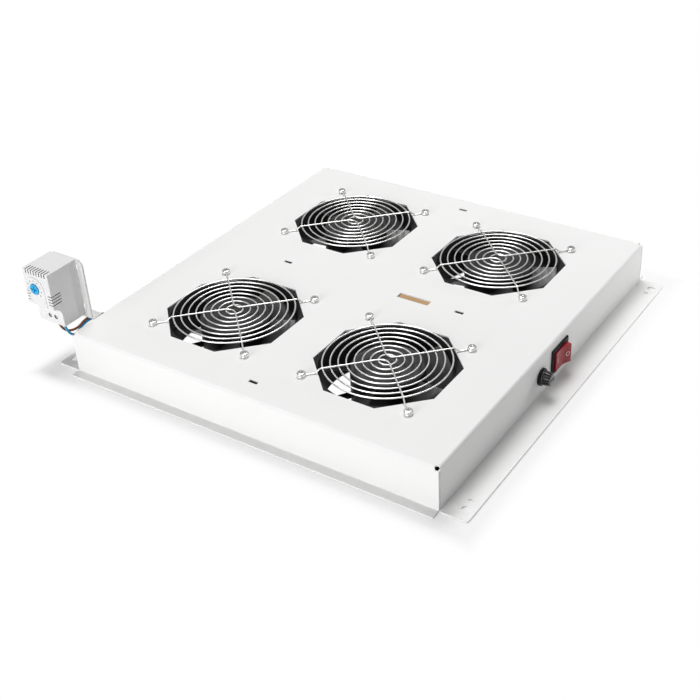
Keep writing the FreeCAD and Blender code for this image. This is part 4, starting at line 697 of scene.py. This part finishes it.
def guard_mesh(sizes):
    """One finger guard about the origin: rings under two bent leg wires."""
    ring_height = PANEL_TOP + sizes.lift - sizes.wire / 2
    made = []
    for step in range(sizes.rings):
        radius = sizes.first + step * sizes.step
        made.append(added(bpy.ops.mesh.primitive_torus_add, location=(0.0, 0.0, ring_height),
                          major_radius=radius, minor_radius=sizes.wire / 2,
                          major_segments=48 + 8 * step, minor_segments=10))
        settle(made[-1])
    for turn in (0.0, math.pi):
        outward = arm_points(sizes, math.radians(45) + turn, 1.0)
        back = arm_points(sizes, math.radians(-45) + turn, -1.0)
        leg = wire(outward + back[::-1], sizes.wire, "leg")
        only(leg)
        bpy.ops.object.convert(target="MESH")
        made.append(leg)
    guard = merge(made)
    smooth(guard, 60.0)
    return guard


class MakeGuards(bpy.types.Operator):
    """Bends and welds the round wire of the finger guards"""

    bl_idname = "fantray.make_guards"
    bl_label = "Make the finger guards"

    def execute(self, context):
        first = guard_mesh(context.scene.fan_tray_guard)
        for n in FANS:
            x, y = FAN_CENTRES[n]
            guard = twin(first, 0.0, (x, y, 0.0))
            dress(guard, "wire_guard_%d" % n, "tray", "guard_wire", "finger_guard_%d" % n)
        bpy.data.objects.remove(first)
        return {"FINISHED"}


def pan_head(sizes, shank_length):
    """A pan-head screw with a cross recess, its head's seat at the origin and its head up."""
    dome, foot, tip = 1.15 * MM, 0.15 * MM, 0.4 * MM
    cut, pit_top, pit_end, pit_height, pit_drop = 2.6 * MM, 1.1 * MM, 0.2 * MM, 2.0 * MM, 0.9 * MM
    head = added(bpy.ops.mesh.primitive_cylinder_add, vertices=40, radius=sizes.head / 2,
                 depth=sizes.height, location=(0.0, 0.0, sizes.height / 2))
    settle(head)
    top = sizes.height - NEAR
    bevel_edges(head, dome, 5, lambda a, b: a.z > top and b.z > top)
    bevel_edges(head, foot, 2, lambda a, b: a.z < NEAR and b.z < NEAR)
    for size in ((sizes.recess, sizes.recess_width, cut), (sizes.recess_width, sizes.recess, cut)):
        carve(head, block((0.0, 0.0, sizes.height), size))
    pit = added(bpy.ops.mesh.primitive_cone_add, vertices=16, radius1=pit_end, radius2=pit_top,
                depth=pit_height, location=(0.0, 0.0, sizes.height - pit_drop))
    settle(pit)
    carve(head, pit)
    shank = added(bpy.ops.mesh.primitive_cylinder_add, vertices=32, radius=sizes.shank / 2,
                  depth=shank_length, location=(0.0, 0.0, -shank_length / 2))
    settle(shank)
    bevel_edges(shank, tip, 2, lambda a, b: max(a.z, b.z) < NEAR - shank_length)
    screw = merge([head, shank])
    smooth(screw, 40.0)
    return screw


# How far the first guard screw's recess is turned, and each next one from the one before, in degrees
RECESS_TURN = 17.0
RECESS_STEP = 31.0


class MakeScrews(bpy.types.Operator):
    """Turns the pan-head screws of the guards and of the bracket"""

    bl_idname = "fantray.make_screws"
    bl_label = "Make the screws"

    def execute(self, context):
        sizes = context.scene.fan_tray_screw
        seat = PANEL_TOP + context.scene.fan_tray_guard.wire
        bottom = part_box("guard_screws")[0][2]
        first = pan_head(sizes, seat - bottom)
        made = []
        for n in FANS:
            x, y = FAN_CENTRES[n]
            for sx, sy in ((-1, -1), (1, -1), (-1, 1), (1, 1)):
                turn = math.radians(RECESS_TURN + RECESS_STEP * len(made))
                made.append(twin(first, turn, (x + sx * HOLE_REACH, y + sy * HOLE_REACH, seat)))
        dress(merge(made), "guard_screw_set", "tray", "screw_steel", "guard_screws")
        bpy.data.objects.remove(first)

        low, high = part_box("bracket_screws")
        seat_y = high[1] - sizes.height
        first = pan_head(sizes, seat_y - low[1])
        first.data.transform(Matrix.Rotation(math.radians(-90), 4, "X"))
        middle = (low[2] + high[2]) / 2
        places = [low[0] + sizes.head / 2, high[0] - sizes.head / 2]
        made = [twin(first, 0.0, (x, seat_y, middle)) for x in places]
        dress(merge(made), "bracket_screw_set", "tray", "screw_steel", "bracket_screws")
        bpy.data.objects.remove(first)
        return {"FINISHED"}


# The middle of the rocker's pivot, and how far the rocker is tilted at rest
ROCKER_PIVOT = (0.0095, -0.1885, 0.0215)
ROCKER_TILT = math.radians(10.0)


def on_rocker(piece, pivot):
    """Tips a piece modelled on the level rocker to its rest, in the switch."""
    seat = Matrix.Translation((0.0, -pivot, 0.0))
    piece.data.transform(Matrix.Translation(ROCKER_PIVOT) @ Matrix.Rotation(-ROCKER_TILT, 4, "Z") @ seat)


class MakeRocker(bpy.types.Operator):
    """Moulds the rocker with its curved face and its two marks"""

    bl_idname = "fantray.make_rocker"
    bl_label = "Make the rocker"

    def execute(self, context):
        sizes = context.scene.fan_tray_rocker
        half, proud, edge = sizes.span / 2, sizes.proud, sizes.edge
        rise = half * math.tan(ROCKER_TILT) + sizes.lift
        slope = math.atan(rise / half)
        body = block((0.0, (sizes.deep - proud) / 2, 0.0), (2 * half, sizes.deep + proud, sizes.tall))
        pick(body, "FACE", lambda face: True)
        bpy.ops.mesh.bisect(plane_co=(0.0, 0.0, 0.0), plane_no=(1.0, 0.0, 0.0))
        leave()
        for side in (-1.0, 1.0):
            pick(body, "VERT", lambda v: v.co.x * side > half / 2 and v.co.y < 0.0)
            bpy.ops.transform.translate(value=(-side * sizes.draft, -rise, 0.0))
            leave()
        pick(body, "VERT", lambda v: abs(v.co.x) > half / 2 and v.co.y > 0.0)
        bpy.ops.transform.translate(value=(0.0, -sizes.skirt, 0.0))
        leave()
        bevel_edges(body, sizes.waist, 8,
                    lambda a, b: max(abs(a.x), abs(b.x)) < NEAR and max(a.y, b.y) < 0.0)
        bevel_edges(body, edge, 3, lambda a, b: min(abs(a.x), abs(b.x)) > half - edge)
        pin = added(bpy.ops.mesh.primitive_cylinder_add, vertices=24, radius=sizes.pin / 2,
                    depth=sizes.pin_length, location=(0.0, sizes.pivot, 0.0))
        settle(pin)
        rocker = merge([body, pin])
        smooth(rocker, 40.0)
        on_rocker(rocker, sizes.pivot)
        dress(rocker, "red_rocker", "rocker", "red_plastic", "switch_rocker")

        reach = sizes.mark_reach
        face = -proud - reach * math.tan(slope)
        ring = added(bpy.ops.mesh.primitive_torus_add, major_radius=sizes.ring,
                     minor_radius=sizes.ring_line, major_segments=40, minor_segments=8)
        ring.scale = (1.0, 1.0, 0.5)
        ring.rotation_euler = (math.radians(90), 0.0, -slope)
        ring.location = (reach, face, 0.0)
        settle(ring)
        thick, round_off = 0.3 * MM, 0.12 * MM
        bar = block((0.0, 0.0, 0.0), (sizes.mark_width, thick, sizes.mark_height))
        bevel_edges(bar, round_off, 2, lambda a, b: True)
        bar.rotation_euler = (0.0, 0.0, slope)
        bar.location = (-reach, face, 0.0)
        settle(bar)
        marks = merge([ring, bar])
        smooth(marks, 40.0)
        on_rocker(marks, sizes.pivot)
        dress(marks, "rocker_marks", "rocker", "strip")
        return {"FINISHED"}


class MakeFuseCap(bpy.types.Operator):
    """Moulds the tapered, ribbed and slotted cap of the fuse holder"""

    bl_idname = "fantray.make_fuse_cap"
    bl_label = "Make the fuse cap"

    def execute(self, context):
        sizes = context.scene.fan_tray_cap
        base, tip, reach = sizes.base / 2, sizes.tip / 2, sizes.reach
        depth, collar_height = sizes.rib_depth, sizes.collar
        core = added(bpy.ops.mesh.primitive_cone_add, vertices=72, radius1=base - depth,
                     radius2=tip - depth, depth=reach, location=(0.0, 0.0, reach / 2))
        settle(core)
        top = reach - NEAR
        dome, rim, dish = 0.7 * MM, 1.0 * MM, 0.35 * MM
        bevel_edges(core, dome, 5, lambda a, b: a.z > top and b.z > top)
        pick(core, "FACE", lambda face: face.center.z > top)
        bpy.ops.mesh.inset(thickness=rim, depth=-dish)
        leave()
        carve(core, block((0.0, 0.0, reach), (2 * base, sizes.slot, 2 * sizes.slot_depth)))

        lean = math.atan((base - tip) / reach)
        bare, raised, round_off = 1.6 * MM, 0.3 * MM, 0.3 * MM
        rib_deep = 2.4 * depth
        rib = block((0.0, 0.0, 0.0), (rib_deep, sizes.rib_width, reach - bare))
        bevel_edges(rib, round_off, 3, lambda a, b: min(a.x, b.x) > 0.0)
        middle = (base + tip - rib_deep) / 2
        rib.data.transform(Matrix.Translation((middle, 0.0, reach / 2 + raised))
                           @ Matrix.Rotation(-lean, 4, "Y"))
        made = [core] + [twin(rib, 2 * math.pi * step / sizes.ribs) for step in range(sizes.ribs)]
        bpy.data.objects.remove(rib)

        collar = added(bpy.ops.mesh.primitive_cylinder_add, vertices=72, radius=base,
                       depth=collar_height, location=(0.0, 0.0, collar_height / 2))
        settle(collar)
        bevel_edges(collar, 0.35 * MM, 3, lambda a, b: min(a.z, b.z) > collar_height - NEAR)
        low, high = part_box("fuse_cap")
        stem_end = high[1] - low[1] - reach
        stem = added(bpy.ops.mesh.primitive_cylinder_add, vertices=36, radius=sizes.stem / 2,
                     depth=stem_end, location=(0.0, 0.0, -stem_end / 2))
        settle(stem)
        bevel_edges(stem, 0.4 * MM, 2, lambda a, b: max(a.z, b.z) < NEAR - stem_end)
        cap = merge(made + [collar, stem])
        smooth(cap, 35.0)
        centre = ((low[0] + high[0]) / 2, low[1] + reach, (low[2] + high[2]) / 2)
        cap.data.transform(Matrix.Translation(centre) @ Matrix.Rotation(math.radians(90), 4, "X"))
        dress(cap, "ribbed_cap", "cap", "cap_black", "fuse_cap")
        return {"FINISHED"}


# Where the first number stands, and each next one from the one before, in degrees
SCALE_START = 220.0
SCALE_STEP = -32.5


class MakeThermostatMarks(bpy.types.Operator):
    """Prints the plain numbers round the thermostat's dial"""

    bl_idname = "fantray.make_thermostat_marks"
    bl_label = "Make the thermostat's scale"

    def execute(self, context):
        sizes = context.scene.fan_tray_scale
        low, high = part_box("thermostat_dial")
        centre_y, centre_z = (low[1] + high[1]) / 2, (low[2] + high[2]) / 2
        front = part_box("thermostat_cover")[0][0] - 0.01 * MM
        made = []
        for step in range(sizes.numbers):
            angle = math.radians(SCALE_START + SCALE_STEP * step)
            mark = added(bpy.ops.object.text_add)
            mark.data.body = str(step * 10)
            mark.data.size = sizes.letter
            mark.data.align_x = "CENTER"
            mark.data.align_y = "CENTER"
            mark.data.extrude = sizes.relief
            mark.rotation_euler = (math.radians(90), 0.0, math.radians(-90))
            mark.location = (front, centre_y - sizes.radius * math.cos(angle),
                             centre_z + sizes.radius * math.sin(angle))
            only(mark)
            bpy.ops.object.convert(target="MESH")
            settle(mark)
            made.append(mark)
        dress(merge(made), "thermostat_scale", "tray", "black_plastic")
        return {"FINISHED"}


def lead_points(which, stack):
    """The route in millimetres of the brown lead (0) or the blue one (1), from its clamp to the strip."""
    lift = stack * (0.5 - which)
    x, y = -191.75, (216.2, 208.8)[which]
    shared = [
        (-178.0, 207.0, 28.0), (-170.0, 204.5, 34.0), (-159.0, 204.0, 33.5), (-148.0, 203.5, 28.5),
        (-137.5, 200.5, 24.5), (-133.0, 192.0, 24.0), (-132.5, 177.0, 24.3), (-121.0, 162.5, 26.0),
        (-90.0, 159.0, 29.0), (-50.0, 158.0, 31.5),
        (-14.0, 154.0, 32.8), (0.0, 134.0, 33.3), (0.0, 95.5, 33.2), (-4.0, 52.0, 32.0),
        (-18.0, 16.0, 31.2), (-22.0, -10.0, 31.4),
    ]
    ends_at_strip = [
        [(-22.0, -24.5, 33.2), (-15.5, -32.0, 34.2), (-6.5, -32.0, 34.4)],
        [(-22.0, -32.5, 30.8), (-16.0, -40.0, 34.2), (-6.5, -40.0, 34.4)],
    ]
    route = [(x, y, 46.1), (x + 0.4, y - 1.0, 36.0 + lift / 2),
             (x + 5.4, y - 3.0 - 1.4 * (1 - which), 27.5 + lift)]
    route += [(px, py, pz + lift) for px, py, pz in shared]
    return route + ends_at_strip[which]


class MakeLeads(bpy.types.Operator):
    """Lays the thermostat's two leads"""

    bl_idname = "fantray.make_leads"
    bl_label = "Make the leads"

    def execute(self, context):
        sizes = context.scene.fan_tray_lead
        for which, word in enumerate(("brown", "blue")):
            route = lead_points(which, sizes.stack / MM)
            points = [tuple(part * MM for part in spot) for spot in route]
            lead = wire(points, sizes.diameter, "lead", sides=4, steps=10)
            dress(lead, "%s_lead" % word, "tray", "%s_wire" % word, "lead_%s" % word)
        return {"FINISHED"}


# Stage

WHITE = (1.0, 1.0, 1.0, 1.0)
FLOOR_SIZE = 30.0
FLOOR_DROP = 0.0002

# The room's light on the object, the share of it that mirrors show as white, and how far the shadow
# on the floor is lightened
ROOM_LIGHT = 0.12
MIRRORED_SHARE = 0.35
SHADOW_RELIEF = 0.45

# The floor's painted shade under the tray, and how pale it is elsewhere
FLOOR_PAINTED_SHADE_AND_PALE = (0.01, 0.86)

# Where the floor turns from its painted shade to pale and where its shadow ends, from the object's
# outline, and where a fan's throat lets the white paper be seen, from its axis
FLOOR_PALE = (-0.030, -0.026)
SHADOW_END = (-0.006, 0.022)
THROAT_EDGE = (0.058, 0.064)

# Name, place, width in metres and watts of each lamp
LAMPS = (
    ("key", (-1.9, 0.5, 1.5), 1.5, 9.5),
    ("top", (0.6, 0.4, 1.9), 1.0, 30.5),
    ("low", (-2.1, 0.15, 0.45), 0.8, 21.5),
    ("far", (0.6, -0.5, 0.16), 0.2, 1.6),
    ("under", (0.0, 0.0, -1.6), 0.6, 9.0),
)
UNMIRRORED_LAMP = "far"

CAMERA_PLACE = (-0.7770, -0.5295, 0.5960)
CAMERA_YAW = math.radians(55.60)
CAMERA_PITCH = math.radians(32.67)
CAMERA_ROLL = math.radians(-2.69)
CAMERA_SENSOR = 36.0
CAMERA_LENS = 59.71
CAMERA_SHIFT = -0.02857
CAMERA_NEAR = 0.01


def plain_view(paint):
    """1 for a ray that sees the white straight or through glass, and less for a mirrored one."""
    ray = paint.node("ShaderNodeLightPath")
    seen, mirrored, through = (Value(paint, ray.outputs["Is %s Ray" % kind])
                               for kind in ("Camera", "Glossy", "Transmission"))
    return seen + mirrored * MIRRORED_SHARE + through


def floor_paper():
    """White paper with the object's shadow near it, painted shade under the tray, plain white farther off,
    and clear from below.
    """
    paper = Paint("floor paper")
    x, y, _ = paper.coordinates()
    beyond = (abs(x) - CAD_BOX[1][0]).over(abs(y) + CAD_BOX[0][1])
    open_floor = beyond.ramp(*FLOOR_PALE)
    clear = beyond.ramp(*SHADOW_END).over(open_floor * SHADOW_RELIEF)
    for fan_x, fan_y in FAN_CENTRES.values():
        off = paper.value("ShaderNodeVectorMath", "Value", {"operation": "DISTANCE"},
                          {0: paper.place(), 1: (fan_x, fan_y, 0.0)})
        clear = clear.over(1.0 - off.ramp(*THROAT_EDGE))
    # Painted shade: the matt floor under the tray is near black
    dark, pale = (paper.value("ShaderNodeBsdfDiffuse", 0, {}, {"Color": rgba((shade, shade, shade))})
                  for shade in FLOOR_PAINTED_SHADE_AND_PALE)
    matt = paper.mix(open_floor, dark, pale)
    white = paper.value("ShaderNodeEmission", 0, {}, {"Color": WHITE, "Strength": 1.0})
    lit = paper.mix(clear * plain_view(paper), matt, white)
    below = paper.value("ShaderNodeNewGeometry", "Backfacing")
    unseen = below.over(paper.value("ShaderNodeLightPath", "Is Shadow Ray"))
    return paper.finish(paper.mix(unseen, lit, paper.value("ShaderNodeBsdfTransparent", 0)))


def studio_world():
    """A dim white room that looks plain white where it is seen or mirrored."""
    room = Paint("studio", world=True)
    dim, plain = (room.value("ShaderNodeBackground", 0, {}, {"Color": WHITE, "Strength": strength})
                  for strength in (ROOM_LIGHT, 1.0))
    return room.finish(room.mix(plain_view(room), dim, plain))


class MakeStage(bpy.types.Operator):
    """Puts up the pale floor, the soft light and the camera"""

    bl_idname = "fantray.make_stage"
    bl_label = "Make the stage"

    def execute(self, context):
        scene = context.scene
        floor = added(bpy.ops.mesh.primitive_plane_add, size=FLOOR_SIZE, location=(0.0, 0.0, -FLOOR_DROP))
        settle(floor)
        floor.name = "floor"
        floor.data.materials.append(floor_paper())
        scene.world = studio_world()
        for name, place, width, power in LAMPS:
            lamp = added(bpy.ops.object.light_add, type="AREA", location=place)
            lamp.name = name
            lamp.data.shape = "SQUARE"
            lamp.data.size = width
            lamp.data.energy = power
            lamp.visible_glossy = name != UNMIRRORED_LAMP
            lamp.rotation_euler = Vector(place).to_track_quat("Z", "Y").to_euler()

        forward = Vector((math.sin(CAMERA_YAW) * math.cos(CAMERA_PITCH),
                          math.cos(CAMERA_YAW) * math.cos(CAMERA_PITCH), -math.sin(CAMERA_PITCH)))
        level = Vector((math.cos(CAMERA_YAW), -math.sin(CAMERA_YAW), 0.0))
        upright = level.cross(forward)
        right = level * math.cos(CAMERA_ROLL) + upright * math.sin(CAMERA_ROLL)
        up = upright * math.cos(CAMERA_ROLL) - level * math.sin(CAMERA_ROLL)
        camera = added(bpy.ops.object.camera_add)
        turn = Matrix((right, up, -forward)).transposed().to_4x4()
        camera.matrix_world = Matrix.Translation(CAMERA_PLACE) @ turn
        camera.data.sensor_width = CAMERA_SENSOR
        camera.data.sensor_fit = "HORIZONTAL"
        camera.data.lens = CAMERA_LENS
        camera.data.shift_x = CAMERA_SHIFT
        camera.data.shift_y = CAMERA_SHIFT
        camera.data.clip_start = CAMERA_NEAR
        scene.camera = camera
        scene.view_settings.view_transform = "Standard"
        return {"FINISHED"}


# The add-on's steps in the order of their making, and its groups of sizes with their places in the scene
STEPS = (DressFrame, MakeStage, MakeLeads, MakeGuards, MakeScrews, MakeRocker, MakeFuseCap,
         MakeThermostatMarks)
GROUPS = (
    (GuardSizes, "fan_tray_guard"),
    (ScrewSizes, "fan_tray_screw"),
    (LeadSizes, "fan_tray_lead"),
    (RockerSizes, "fan_tray_rocker"),
    (CapSizes, "fan_tray_cap"),
    (ScaleSizes, "fan_tray_scale"),
    (Colours, "fan_tray_colours"),
)


class FanTrayPanel(bpy.types.Panel):
    """Lists the sizes, colours and steps"""

    bl_idname = "VIEW3D_PT_fan_tray"
    bl_label = "Fan tray"
    bl_space_type = "VIEW_3D"
    bl_region_type = "UI"
    bl_category = "Fan tray"

    def draw(self, context):
        for group, place in GROUPS:
            column = self.layout.column(align=True)
            for name in group.__annotations__:
                column.prop(getattr(context.scene, place), name)
        for step in STEPS:
            self.layout.operator(step.bl_idname)


def register():
    """Adds the classes and the scene's settings."""
    for group, place in GROUPS:
        bpy.utils.register_class(group)
        setattr(bpy.types.Scene, place, PointerProperty(type=group))
    for step in STEPS + (FanTrayPanel,):
        bpy.utils.register_class(step)


def unregister():
    """Takes them away again."""
    for step in reversed(STEPS + (FanTrayPanel,)):
        bpy.utils.unregister_class(step)
    for group, place in reversed(GROUPS):
        delattr(bpy.types.Scene, place)
        bpy.utils.unregister_class(group)


def main():
    """Makes every piece in order."""
    register()
    for step in STEPS:
        family, name = step.bl_idname.split(".")
        getattr(getattr(bpy.ops, family), name)()


if __name__ == "__main__":
    main()
